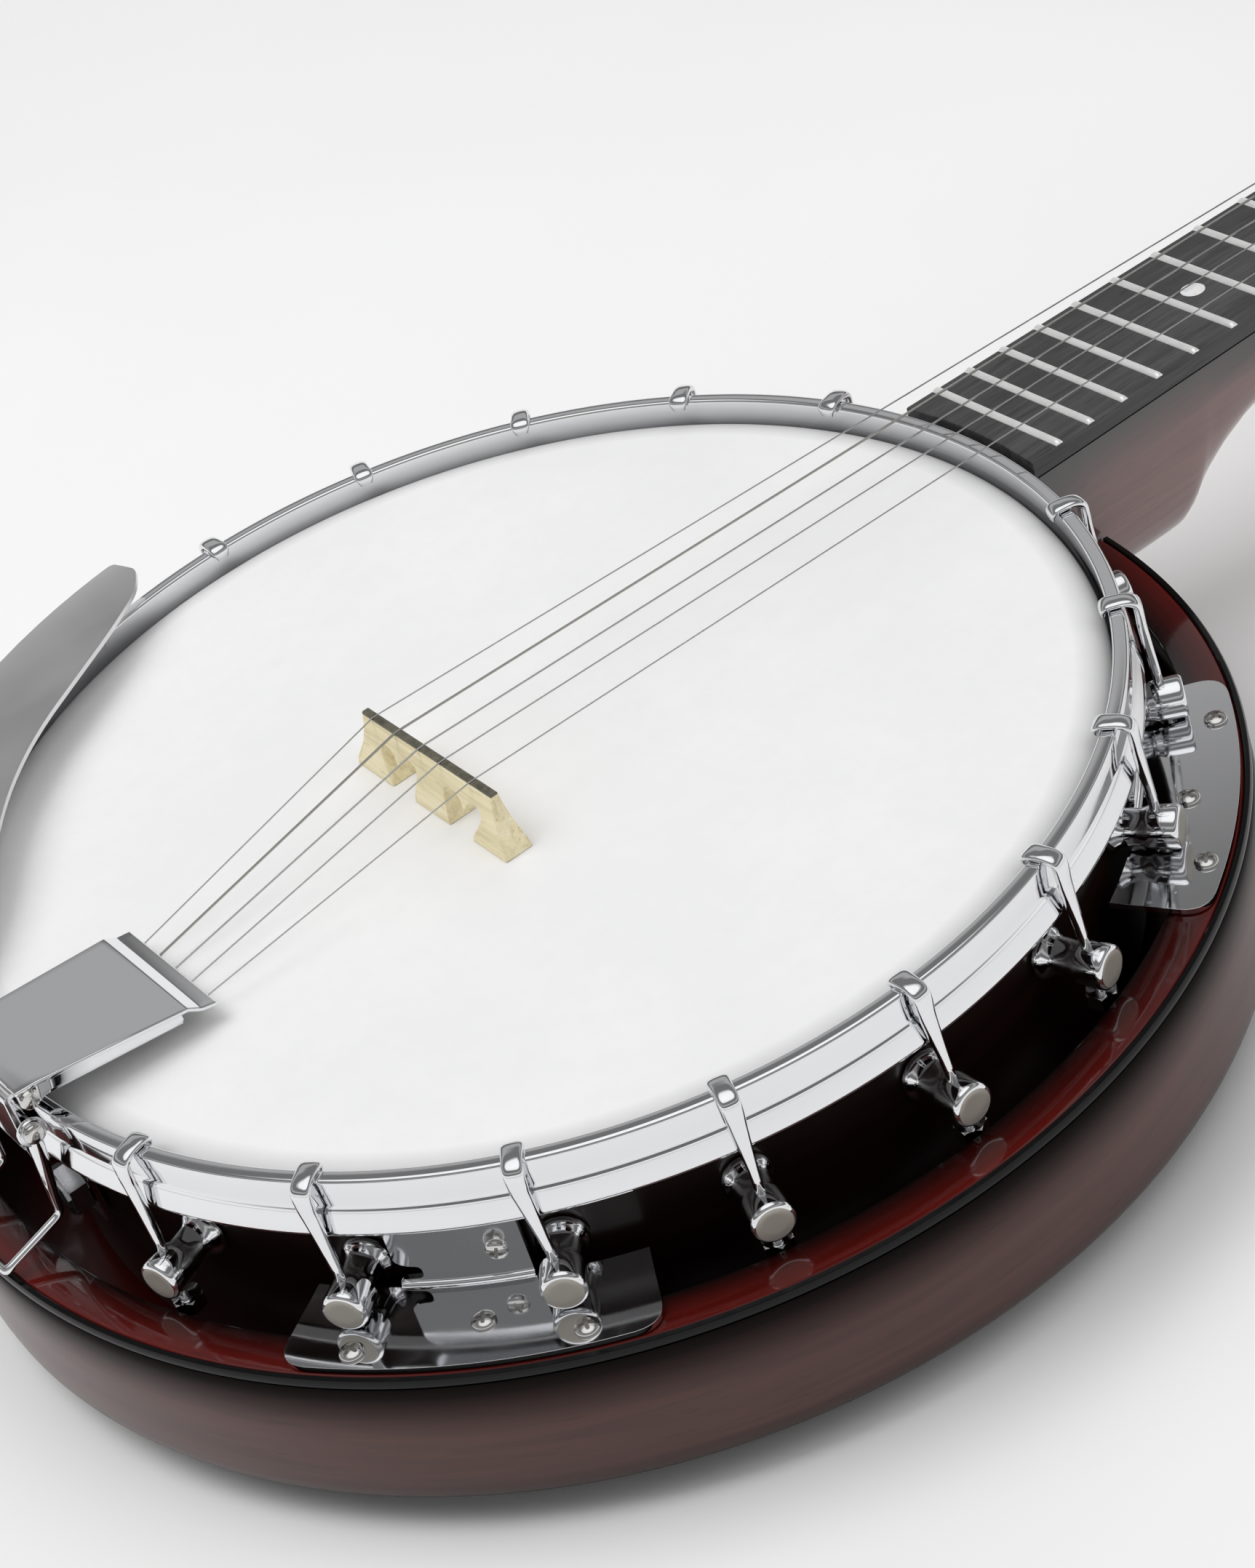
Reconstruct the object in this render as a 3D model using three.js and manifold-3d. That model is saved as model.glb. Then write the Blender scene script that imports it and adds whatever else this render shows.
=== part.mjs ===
// Five-string resonator banjo, built as an assembly of separate pieces.
// Millimetres, +Z up out of the drum head, +X along the neck towards the peghead,
// +Y towards the fifth-string side.  Origin: centre of the flat on the resonator's back,
// on the pot's axis.
import * as THREE from 'three';
import { mergeVertices } from 'three/addons/utils/BufferGeometryUtils.js';
import Module from 'manifold-3d';

const wasm = await Module();
wasm.setup();

// ---------------------------------------------------------------- driving dimensions
// In these names _R is a radius, _T a thickness, _X, _Y and _Z places along the axes.
const POT_FACETS = 48;
const HOOP_TOP = 86;                 // top of the tension hoop
const HEAD_TOP = 81.5;               // playing surface of the head
const RIM_R = 139.7;                 // 11 inch rim, outer radius
const RIM_IN_R = 128;
const RIM_BOTTOM = 13.5;
const RIM_TOP = 73;

const BRACKET_SLOTS = 20;            // the slots at the neck and the tail stay empty
const BRACKET_STEP = 360 / BRACKET_SLOTS;
const SHOE_Z = 55.9;                 // axis of each bracket shoe
const SHOE_IN_R = RIM_R + 0.35;
const SHOE_END_R = 157.2;
const HOOK_TOP_R = 150.7;            // hook rod's distance from the pot's axis, at its top
const HOOK_LOW_R = 152.9;            // and at its nut

const RES_R = 170.6;                 // resonator outside
const RES_TOP = 48.6;
const RES_IN_R = 165.6;
const LEDGE_IN_R = 157.6;            // ledge inside the top of the resonator's wall
const LEDGE_T = 6;
const LEDGE_OUT_R = 167.8;
const PLATE_Z = RES_TOP + 0.35;      // underside of the flange plates
const PLATE_T = 1.5;
const COORD_Z = 50;                  // axis of the coordinator rod
const COORD_HOLE_R = 4.6;

const SCALE = 667;                   // 26 1/4 inch scale
const FRET_X0 = -29.85;              // bridge end of the fret scale
const FRETS = 22;
const NUT_X = FRET_X0 + SCALE;
const NUT_TOP = 2.2;                 // above the fingerboard
const NECK_X0 = 150;                 // origin of the neck's frame
const NECK_TILT = 1.1;               // degrees the neck leans back
const BOARD_T = 5;
const BOARD_END_R = 149.3;           // arc at the pot end of the fingerboard
const HEEL_X = 204;
const HEEL_DEPTH = -60.4;

const PEG_TILT = 12;                 // degrees the peghead leans back from the neck
const PEG_T = 14;
const PEG_LENGTH = 152;
const POST_X = [46, 102];            // tuner posts, from the root of the peghead
const POST_Y = 21.5;
const POST_R = 3.1;
const POST_HOLE_R = 3.6;
const PEG_BACK = -PEG_T - 0.3;       // seat of the tuner housings
const TUNER_ARM_Z = PEG_BACK - 7;

const FIFTH_NUT = { x: 473.2, y: 16.4, top: 2.6 };
const FIFTH_PEG_X = 487;
const FIFTH_PEG_Z = -13;
const FIFTH_POST_R = 3;

const BRIDGE_X = -22.3;
const BRIDGE_TOP = 96.8;
const COVER_PIVOT = { x: -148, z: 91.3 };
const TAIL_BASE_END_X = -109;        // end of the tailpiece base that faces the bridge

const STRING_R = 0.25;
const STRING_SEAT = STRING_R + 0.3;  // string's axis above what it rests on
// string places across the instrument, strings 1 to 5
const BRIDGE_STRING_Y = [-18.2, -5.4, 3.8, 14.2, 24.4];
const TAIL_STRING_Y = [-15, -7.5, 0, 7.4, 14.6];
const NUT_STRING_Y = [-11.2, -2.9, 5, 13];   // strings 1 to 4

// ---------------------------------------------------------------- solids
const rad = (degrees) => (degrees * Math.PI) / 180;

// Keeps positions only, welds them, drops empty triangles and turns the skin outwards.
function clean(source) {
  const bare = source.clone();
  for (const key of Object.keys(bare.attributes)) {
    if (key !== 'position') bare.deleteAttribute(key);
  }
  const welded = mergeVertices(bare);
  const index = welded.index.array;
  const corner = (i) => new THREE.Vector3().fromBufferAttribute(welded.attributes.position, i);
  const kept = [];
  let volume = 0;
  for (let i = 0; i < index.length; i += 3) {
    const [a, b, c] = [index[i], index[i + 1], index[i + 2]];
    if (a === b || b === c || a === c) continue;
    kept.push(a, b, c);
    volume += corner(a).dot(corner(b).cross(corner(c)));
  }
  if (volume < 0) {
    for (let i = 0; i < kept.length; i += 3) {
      [kept[i + 1], kept[i + 2]] = [kept[i + 2], kept[i + 1]];
    }
  }
  welded.setIndex(kept);
  return welded;
}
function toManifold(source) {
  const geometry = clean(source);
  return new wasm.Manifold(new wasm.Mesh({
    numProp: 3,
    vertProperties: new Float32Array(geometry.attributes.position.array),
    triVerts: new Uint32Array(geometry.index.array),
  }));
}
function indexed(positions, index) {
  const geometry = new THREE.BufferGeometry();
  geometry.setAttribute('position', new THREE.Float32BufferAttribute(positions, 3));
  geometry.setIndex(index);
  return geometry;
}
function fromManifold(manifold) {
  const mesh = manifold.getMesh();
  return indexed(mesh.vertProperties, Array.from(mesh.triVerts));
}
const join = (...parts) => fromManifold(parts.map(toManifold).reduce((a, b) => a.add(b)));
const cut = (...parts) => fromManifold(parts.map(toManifold).reduce((a, b) => a.subtract(b)));
const common = (a, b) => fromManifold(toManifold(a).intersect(toManifold(b)));

// profile of [radius, z] pairs turned about the Z axis
function revolve(profile, facets = POT_FACETS) {
  const points = profile.map(([r, z]) => new THREE.Vector2(r, z));
  const onAxis = profile[0][0] === 0 && profile.at(-1)[0] === 0;
  if (!onAxis) points.push(points[0].clone());
  return clean(new THREE.LatheGeometry(points, facets).rotateX(Math.PI / 2));
}
function box(x0, x1, y0, y1, z0, z1) {
  return new THREE.BoxGeometry(x1 - x0, y1 - y0, z1 - z0)
    .translate((x0 + x1) / 2, (y0 + y1) / 2, (z0 + z1) / 2);
}
// rods along each axis: radius, two ends in either order, then the other two coordinates
const rod = (radius, a, b, facets) =>
  new THREE.CylinderGeometry(radius, radius, Math.abs(b - a), facets);
const rodX = (radius, x0, x1, y, z, facets = 8) =>
  rod(radius, x0, x1, facets).rotateZ(-Math.PI / 2).translate((x0 + x1) / 2, y, z);
const rodY = (radius, y0, y1, x, z, facets = 8) =>
  rod(radius, y0, y1, facets).translate(x, (y0 + y1) / 2, z);
const rodZ = (radius, z0, z1, x, y, facets = 8) =>
  rod(radius, z0, z1, facets).rotateX(Math.PI / 2).translate(x, y, (z0 + z1) / 2);

function extrude(outline, depth) {
  const shape = new THREE.Shape(outline.map(([x, y]) => new THREE.Vector2(x, y)));
  return new THREE.ExtrudeGeometry(shape, { depth, bevelEnabled: false });
}
// [x, y] outline, thick in Z
const flat = (outline, z0, z1) => extrude(outline, z1 - z0).translate(0, 0, z0);
// [x, z] outline, wide in Y
const side = (outline, y0, y1) =>
  extrude(outline, y1 - y0).rotateX(Math.PI / 2).translate(0, y1, 0);
// [y, z] outline, deep in X
const front = (outline, x0, x1) =>
  extrude(outline, x1 - x0).rotateX(Math.PI / 2).rotateZ(Math.PI / 2).translate(x0, 0, 0);
// plan symmetric about the X axis: half width h0 at x0 and h1 at x1
const trapezium = (x0, h0, x1, h1, z0, z1) =>
  flat([[x0, -h0], [x1, -h1], [x1, h1], [x0, h0]], z0, z1);

// closed skin through a list of rings that hold the same number of points
function loft(rings) {
  const count = rings[0].length;
  const last = (rings.length - 1) * count;
  const index = [];
  for (let start = 0; start < last; start += count) {
    for (let j = 0; j < count; j++) {
      const a = start + j;
      const b = start + ((j + 1) % count);
      index.push(a, b, b + count, a, b + count, a + count);
    }
  }
  for (let j = 1; j + 1 < count; j++) {
    index.push(0, j + 1, j, last, last + j, last + j + 1);
  }
  return clean(indexed(rings.flat(2), index));
}
// a round wire through a list of points, its ring at each corner square to the bisector
function wire(path, radius, facets = 6) {
  const points = path.map((p) => new THREE.Vector3(...p));
  const heading = (i) => points[i + 1].clone().sub(points[i]).normalize();
  let previous = null;
  const rings = points.map((point, i) => {
    const along = new THREE.Vector3();
    if (i > 0) along.add(heading(i - 1));
    if (i + 1 < points.length) along.add(heading(i));
    along.normalize();
    previous ??= new THREE.Vector3(...(Math.abs(along.z) < 0.9 ? [0, 0, 1] : [1, 0, 0]));
    const across = previous.clone().addScaledVector(along, -previous.dot(along)).normalize();
    previous = across;
    const third = along.clone().cross(across);
    return Array.from({ length: facets }, (_, k) => {
      const angle = (2 * Math.PI * (k + 0.5)) / facets;
      return point.clone()
        .addScaledVector(across, radius * Math.cos(angle))
        .addScaledVector(third, radius * Math.sin(angle))
        .toArray();
    });
  });
  return loft(rings);
}

// ---------------------------------------------------------------- finishes and frames
const FINISHES = {
  chrome: { color: '#c9ccd0', roughness: 0.12, metalness: 1 },
  mahogany: { color: '#4a120d', roughness: 0.22, metalness: 0 },
  darkwood: { color: '#1c0907', roughness: 0.3, metalness: 0 },
  black: { color: '#0c0c0d', roughness: 0.3, metalness: 0 },
  head: { color: '#f1f1f0', roughness: 0.6, metalness: 0 },
  ebony: { color: '#2b2b2d', roughness: 0.5, metalness: 0 },
  maple: { color: '#dcc58d', roughness: 0.5, metalness: 0 },
  steel: { color: '#b9bcc0', roughness: 0.3, metalness: 1 },
  bone: { color: '#ece6d6', roughness: 0.4, metalness: 0 },
  brass: { color: '#b79a54', roughness: 0.35, metalness: 1 },
};
const banjo = new THREE.Group();

function piece(name, shape, finish, parent = banjo) {
  const geometry = clean(shape);
  geometry.computeVertexNormals();
  const mesh = new THREE.Mesh(geometry, new THREE.MeshStandardMaterial(FINISHES[finish]));
  mesh.name = name;
  parent.add(mesh);
  return mesh;
}

// Neck frame: z = 0 is the fingerboard's surface.  Its shapes are drawn with x from the
// pot's axis, then moved into the frame by inNeck.
const neckGroup = new THREE.Group();
neckGroup.position.set(NECK_X0, 0, HOOP_TOP);
neckGroup.rotation.y = rad(NECK_TILT);
banjo.add(neckGroup);
neckGroup.updateMatrix();
const worldToNeck = neckGroup.matrix.clone().invert();
const inNeck = (geometry) => geometry.translate(-NECK_X0, 0, 0);
const neckToWorld = (x, y, z) =>
  new THREE.Vector3(x - NECK_X0, y, z).applyMatrix4(neckGroup.matrix).toArray();

// Peghead frame: x from the peghead's root, z = 0 on its face.
const pegMatrix = new THREE.Matrix4().makeRotationY(rad(PEG_TILT))
  .setPosition(642 - NECK_X0, 0.6, -4.2);
const pegGroup = new THREE.Group();
pegGroup.applyMatrix4(pegMatrix);

// ---------------------------------------------------------------- neck form
const NECK_STATIONS = [
  136, 150, 165, 180, 192, HEEL_X, 206.8, 211.5, 219, 231,
  248, 275, 330, 400, 458, 480, 520, 580, 625, 643,
];
const HEEL_STATIONS = NECK_STATIONS.slice(0, 10);
// [x, z] of the lowest line of the neck's back
const NECK_BACK = [
  [140, HEEL_DEPTH], [HEEL_X, HEEL_DEPTH], [206.8, -57.6], [211.5, -50.4], [219, -42.6],
  [231, -35.4], [248, -30], [275, -27.2], [330, -25.8], [458, -24.4], [500, -23.8],
  [600, -22.6], [628, -22.4], [643, -24],
];
function neckBack(x) {
  const next = Math.max(1, NECK_BACK.findIndex(([at]) => x <= at));
  const [[x0, z0], [x1, z1]] = [NECK_BACK[next - 1], NECK_BACK[next]];
  return z0 + ((z1 - z0) * (x - x0)) / (x1 - x0);
}

// half widths of the board, on the -Y side and on the +Y (fifth-string) side
const lowSide = (x) => 23.8 - 0.0177 * (x - NECK_X0);
const STEP = { x0: 458, x1: 480, half0: 20.83, half1: 17.9 };   // where the fifth string ends
function highSide(x) {
  if (x <= STEP.x0) return 25.3 - 0.0145 * (x - NECK_X0);
  if (x >= STEP.x1) return STEP.half1 - 0.0095 * (x - STEP.x1);
  return STEP.half0 - ((STEP.half0 - STEP.half1) * (x - STEP.x0)) / (STEP.x1 - STEP.x0);
}

// half-round section of the neck, narrowed towards its bottom at the heel
function neckRing(x, grow = 0) {
  const steps = 10;
  const top = -BOARD_T - 0.3;
  const depth = top - neckBack(x) + grow;
  const heel = Math.min(1, Math.max(0, (-neckBack(x) - 30) / 24));   // 0 neck, 1 full heel
  return Array.from({ length: steps + 1 }, (_, k) => {
    const angle = (Math.PI * k) / steps;
    const cos = Math.cos(angle);
    const half = (cos >= 0 ? highSide(x) : lowSide(x)) - 0.2 + grow;
    const deep = Math.pow(Math.sin(angle), 0.85);
    const narrow = 1 - heel * 0.3 * Math.pow(deep, 1.6);
    const y = Math.sign(cos) * Math.pow(Math.abs(cos), 0.75) * half * narrow;
    return [x, y, top - depth * deep];
  });
}

// ---------------------------------------------------------------- resonator
function addResonator() {
  // [radius, z]: outside from the back up, then the ledge and the inside
  const body = revolve([
    [0, 0], [60, 0], [100, 1.4], [135, 4.2], [158, 7.4], [167, 9.2], [170.2, 12.2],
    [RES_R, 24], [169.8, 46.1], [LEDGE_OUT_R, 46.1], [LEDGE_OUT_R, RES_TOP],
    [LEDGE_IN_R, RES_TOP], [LEDGE_IN_R, RES_TOP - LEDGE_T], [RES_IN_R, RES_TOP - LEDGE_T],
    [RES_IN_R, 17], [161, 12.6], [135, 8.8], [100, 6], [60, 4.6], [0, 4.6],
  ]);
  const binding = revolve([
    [168.1, 46.4], [169.7, 46.4], [169.6, RES_TOP + 0.2], [168.1, RES_TOP + 0.2],
  ]);
  // notch for the heel: the neck's own form grown by a clearance, and open above
  const gap = 0.5;
  const rings = HEEL_STATIONS.map((x) => neckRing(x + (x > 200 ? gap : 0), gap));
  const heelNotch = inNeck(loft(rings)).applyMatrix4(neckGroup.matrix);
  const openNotch = box(150, 190, -19.2, 19.2, 38, 70);
  piece('resonator', cut(body, heelNotch, openNotch), 'mahogany');
  piece('resonator_binding', cut(binding, openNotch), 'black');
}

// ---------------------------------------------------------------- rim, head and hoop
const bracketAngles = [];
for (let k = 1; k < BRACKET_SLOTS; k++) {
  if (k !== BRACKET_SLOTS / 2) bracketAngles.push(k * BRACKET_STEP);
}

function addRim() {
  const ring = revolve([
    [RIM_IN_R, RIM_BOTTOM], [RIM_R, RIM_BOTTOM], [RIM_R, RIM_TOP], [RIM_IN_R, RIM_TOP],
  ]);
  const boltHoles = bracketAngles.map((angle) =>
    rodX(2.8, 120, 150, 0, SHOE_Z, 6).rotateZ(rad(angle)));
  const coordHoles = [[120, 150], [-150, -120]].map(([x0, x1]) =>
    rodX(COORD_HOLE_R, x0, x1, 0, COORD_Z));
  piece('rim', cut(ring, ...boltHoles, ...coordHoles), 'darkwood');
}

function addToneRing() {
  piece('tone_ring', revolve([
    [129, 73.3], [139.4, 73.3], [139.4, 78.4], [138.4, 80.1], [136.4, 80.4], [133, 77.5],
    [129, 76],
  ]), 'brass');
}

function addHead() {
  const underside = HEAD_TOP - 0.7;
  piece('head', revolve([
    [136.4, HEAD_TOP], [139.8, 80.9], [141.9, 79.8], [142.5, 78.4], [140.9, 76], [140.9, 74],
    [143.1, 74], [143.1, 70.8], [140.1, 70.8], [140.1, 78.8], [139, 80.2],
    [136.2, underside], [0, underside], [0, HEAD_TOP],
  ]), 'head');
}

function addTensionHoop() {
  piece('tension_hoop', revolve([
    [143.5, 85.7], [143.9, HOOP_TOP], [147.1, HOOP_TOP], [147.4, 85.6], [147.2, 77.5],
    [148.9, 77], [148.9, 71.2], [143.6, 71.2], [143.6, 74.4], [141.4, 74.4], [141.4, 76],
    [143.5, 77.8],
  ]), 'chrome');
}

// ---------------------------------------------------------------- brackets
function addBrackets() {
  const hook = side([
    [142.2, 84.2], [142.2, 86.7], [143.2, 87.7], [149.4, 87.8], [151.3, 86.2], [151.9, 73],
    [149.5, 73], [149.3, 84.4], [148.2, 86.4], [143.2, 86.4], [143.1, 84.2],
  ], -1.9, 1.9);
  const hookRod = wire([[HOOK_TOP_R, 0, 76], [HOOK_LOW_R, 0, 43.4]], 1.4);
  const hookNut = rodZ(3.9, 44.8, 48.3, HOOK_LOW_R - 0.1, 0, 6);
  const shoeLength = SHOE_END_R - SHOE_IN_R;
  // [radius, distance out from the rim]
  const shoe = revolve([
    [0, 0], [6, 0], [4.6, 2.4], [4.4, 8], [4.6, 11], [5.1, 12.4], [5.1, shoeLength],
    [0, shoeLength],
  ], 10).rotateY(Math.PI / 2).translate(SHOE_IN_R, 0, SHOE_Z);
  const bolt = rodX(2.4, 125, 142, 0, SHOE_Z, 6);
  const boltHead = rodX(5.2, 123.5, 127.3, 0, SHOE_Z, 6);
  const bracket = join(hook, shoe, hookRod, hookNut, bolt, boltHead);
  bracketAngles.forEach((angle, i) => {
    const name = `bracket_${String(i + 1).padStart(2, '0')}`;
    piece(name, bracket, 'chrome').rotation.z = rad(angle);
  });
}

// ---------------------------------------------------------------- flange plates
// band between two radii, its outer corners cut off; halfAngle in degrees
function sector(r0, r1, halfAngle, corner, steps) {
  const half = rad(halfAngle);
  const at = (r, angle) => [r * Math.cos(angle), r * Math.sin(angle)];
  const arc = (r, from, to) => Array.from({ length: steps + 1 }, (_, i) =>
    at(r, from + ((to - from) * i) / steps));
  const outerHalf = half - corner / r1;
  return [
    ...arc(r1, -outerHalf, outerHalf), at(r1 - corner, half),
    ...arc(r0, half, -half), at(r1 - corner, -half),
  ];
}

// skew: degrees from the middle of the plate's two hooks to the plate's own middle
function flangePlate(skew) {
  const plateIn = 144.2;
  const lugIn = 142.2;
  const lugHalf = 5.9;
  const top = PLATE_Z + PLATE_T;
  const hookHoles = [-BRACKET_STEP / 2, BRACKET_STEP / 2].map((angle) =>
    rodZ(2.7, PLATE_Z - 2, top + 2, HOOK_LOW_R - 0.3, 0, 10).rotateZ(rad(angle - skew)));
  const plate = flat(sector(plateIn, 167.5, 15, 6, 8), PLATE_Z, top);
  const tongue = flat(sector(lugIn, plateIn + 0.4, lugHalf, 0, 4), PLATE_Z, top);
  const upright = flat(sector(lugIn, lugIn + PLATE_T, lugHalf, 0, 4), PLATE_Z, 69.5);
  const screws = [-9.2, 9.2].map((angle) =>
    rodZ(2.9, PLATE_Z + 0.5, top + 1.6, 163, 0).rotateZ(rad(angle)));
  return cut(join(
    plate,
    tongue.rotateZ(rad(-skew)),
    upright.rotateZ(rad(-skew)),
    rodX(2.7, 140, 145.2, 0, 59.5).rotateZ(rad(3.5 - skew)),
    ...screws,
  ), ...hookHoles);
}

function addFlangePlates() {
  for (let i = 0; i < 4; i++) {
    const skew = i % 2 ? -2 : 2;
    const plate = piece(`flange_plate_${i + 1}`, flangePlate(skew), 'chrome');
    plate.rotation.z = rad(45 + 90 * i + skew);
  }
}

function addCoordinatorRod() {
  piece('coordinator_rod', join(
    rodX(4, -147.6, 154, 0, COORD_Z),
    rodX(7.5, 121.2, 127, 0, COORD_Z, 6),
    rodX(7, -147, -142.5, 0, COORD_Z, 6),
  ), 'steel');
}

// ---------------------------------------------------------------- neck and fingerboard
// upright cylinder on the pot's axis, in the neck's frame
const potCylinder = (radius, z0) =>
  rodZ(radius, z0, 130, 0, 0, POT_FACETS * 2).applyMatrix4(worldToNeck);
const boardEndCut = potCylinder(BOARD_END_R, 70.6);

function pegheadBoard() {
  // [x, half width]
  const half = [
    [0, 16.6], [8, 17.4], [16, 22], [24, 30.5], [33, 35.5], [44, 37], [58, 35.4],
    [76, 32.2], [92, 32], [108, 34.4], [122, 36], [134, 33], [140, 27], [146, 24.5],
    [150, 14], [PEG_LENGTH, 6],
  ];
  const outline = [...half, ...half.map(([x, y]) => [x, -y]).reverse()];
  const holes = POST_X.flatMap((x) =>
    [-POST_Y, POST_Y].map((y) => rodZ(POST_HOLE_R, -40, 20, x, y)));
  return cut(flat(outline, -PEG_T, 0), ...holes).applyMatrix4(pegMatrix);
}

function addNeck() {
  const shaft = inNeck(loft(NECK_STATIONS.map((x) => neckRing(x))));
  const rimCut = potCylinder(RIM_R + 0.45, -20);
  const coordPocket = rodX(COORD_HOLE_R, 130, 158, 0, COORD_Z).applyMatrix4(worldToNeck);
  const fifthHole = inNeck(rodY(3.6, 6, 60, FIFTH_PEG_X, FIFTH_PEG_Z));
  const blank = join(shaft, pegheadBoard());
  const neck = cut(blank, boardEndCut, rimCut, coordPocket, fifthHole);
  piece('neck', neck, 'mahogany', neckGroup);
}

function addFingerboard() {
  const stations = [140, STEP.x0, STEP.x1, NUT_X - 0.3];
  const outline = [
    ...stations.map((x) => [x, highSide(x)]),
    ...stations.map((x) => [x, -lowSide(x)]).reverse(),
  ];
  const frets = Array.from({ length: FRETS }, (_, i) => {
    const x = FRET_X0 + SCALE * Math.pow(2, -(i + 1) / 12);
    return inNeck(box(x - 1.1, x + 1.1, -lowSide(x) + 0.3, highSide(x) - 0.3, -1, 1.05));
  });
  const board = cut(inNeck(flat(outline, -BOARD_T, 0)), boardEndCut);
  piece('fingerboard', join(board, ...frets), 'ebony', neckGroup);
}

function addNuts() {
  const nut = box(NUT_X, NUT_X + 4.6, -lowSide(NUT_X), highSide(NUT_X), -BOARD_T + 0.2, NUT_TOP);
  const fifthNut = rodZ(1.4, 0.3, FIFTH_NUT.top, FIFTH_NUT.x, FIFTH_NUT.y);
  piece('nut', inNeck(nut), 'bone', neckGroup);
  piece('fifth_string_nut', inNeck(fifthNut), 'bone', neckGroup);
}

// ---------------------------------------------------------------- peghead hardware
function addTrussRodCover() {
  piece('truss_rod_cover', flat([
    [6, -7], [6, 7], [16, 9.5], [24, 8], [31, 3.5], [33, 0], [31, -3.5], [24, -8], [16, -9.5],
  ], 0.3, 1.9), 'black', pegGroup);
}

// twelve-sided knob with its axis along Z, flattened in Y
const knob = (radius, thickness) =>
  new THREE.CylinderGeometry(radius, radius, thickness, 12)
    .rotateX(Math.PI / 2).scale(1, 0.86, 1);

// In the tuner functions, edge is +1 or -1: the side of the peghead in Y.
function tunerHousing(x, edge) {
  const y = edge * POST_Y;
  const middle = y + edge;
  return cut(
    box(x - 9, x + 9, middle - 8, middle + 8, PEG_BACK - 11, PEG_BACK),
    rodZ(POST_HOLE_R, PEG_BACK - 6.5, PEG_BACK + 1, x, y),
    rodY(2.3, y + edge * 5, y + edge * 12, x, TUNER_ARM_Z),
  );
}
function tunerPost(x, edge) {
  const y = edge * POST_Y;
  return join(rodZ(POST_R, PEG_BACK - 6, 16, x, y), rodZ(3.7, 14.4, 17, x, y));
}
function tunerButton(x, edge) {
  return join(
    rodY(1.9, edge * (POST_Y + 5.6), edge * 47, x, TUNER_ARM_Z),
    knob(9.4, 6.4).translate(x, edge * 53.75, TUNER_ARM_Z),
    rodY(3.4, edge * 42, edge * 48, x, TUNER_ARM_Z),
  );
}
function addTuners() {
  let number = 0;
  for (const edge of [-1, 1]) {
    for (const x of POST_X) {
      number += 1;
      piece(`tuner_housing_${number}`, tunerHousing(x, edge), 'chrome', pegGroup);
      piece(`tuner_post_${number}`, tunerPost(x, edge), 'chrome', pegGroup);
      piece(`tuner_button_${number}`, tunerButton(x, edge), 'chrome', pegGroup);
    }
  }
}

// ---------------------------------------------------------------- fifth-string peg
// stands out in +Y from the neck's edge, by the fifth fret
const FIFTH_SEAT_Y = highSide(FIFTH_PEG_X) + 0.3;
// rod on the peg's axis, its ends measured out from the seat
const fifthRod = (radius, from, to, facets) =>
  rodY(radius, FIFTH_SEAT_Y + from, FIFTH_SEAT_Y + to, FIFTH_PEG_X, FIFTH_PEG_Z, facets);

function addFifthPeg() {
  const base = join(
    rodY(3.2, 8, FIFTH_SEAT_Y + 1, FIFTH_PEG_X, FIFTH_PEG_Z),
    fifthRod(5.4, 0.2, 2.2, 10),
    fifthRod(1.1, 1, 16),
  );
  const post = cut(
    join(fifthRod(FIFTH_POST_R, 2.6, 10.4), fifthRod(4.2, 8.8, 10.4)),
    fifthRod(1.6, -5, 30),
  );
  const grip = knob(9, 6).translate(FIFTH_PEG_X, FIFTH_SEAT_Y + 28.5, FIFTH_PEG_Z);
  const button = cut(
    join(fifthRod(6.4, 10.8, 19, 12), fifthRod(3, 18, 24), grip),
    fifthRod(1.6, -5, 16.6),
  );
  piece('fifth_peg_base', inNeck(base), 'chrome', neckGroup);
  piece('fifth_peg_post', inNeck(post), 'chrome', neckGroup);
  piece('fifth_peg_button', inNeck(button), 'chrome', neckGroup);
}

// ---------------------------------------------------------------- bridge, three feet
function addBridge() {
  const foot = HEAD_TOP + 0.3;
  const endsMiddle = 1;              // the ends lie about this y, the arches about y = 0
  // [y, z] of one half: underside of the arch, then the outer end
  const arch = [
    [7.8, foot], [6.2, 88.6], [7.2, 91.2], [11, 91.6], [14.3, 88], [17.4, 91.6],
    [20.6, 91.2], [21.4, 88.4], [17.3, foot],
  ];
  const end = [[32.3, foot], [31.6, 84.6], [29, 88.6], [28, 93], [28, BRIDGE_TOP]];
  const half = (sign) => [
    ...arch.map(([y, z]) => [sign * y, z]),
    ...end.map(([y, z]) => [endsMiddle + sign * y, z]),
  ];
  const face = front([...half(-1).reverse(), ...half(1)], -30, -16);
  const taper = side([
    [-27.3, foot - 1], [-19.2, foot - 1], [-19.4, 84], [-21.1, BRIDGE_TOP + 1],
    [-23.5, BRIDGE_TOP + 1], [-27, 84],
  ], -40, 40);
  piece('bridge', common(face, taper), 'maple');
}

// ---------------------------------------------------------------- tailpiece
// strap over the hoop, down outside it and in to the end of the rim
function addTailpieceHanger() {
  const strap = side([
    [-139.8, 86.3], [-139.8, 87.5], [-150.4, 87.5], [-151.4, 86.6], [-151.4, 68], [-142, 60],
    [-142, 41], [-140.3, 41], [-140.3, 60.6], [-149.7, 68.6], [-149.7, 86.3],
  ], -7, 7);
  piece('tailpiece_hanger', cut(strap, rodX(COORD_HOLE_R, -160, -130, 0, COORD_Z)), 'chrome');
}

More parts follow.
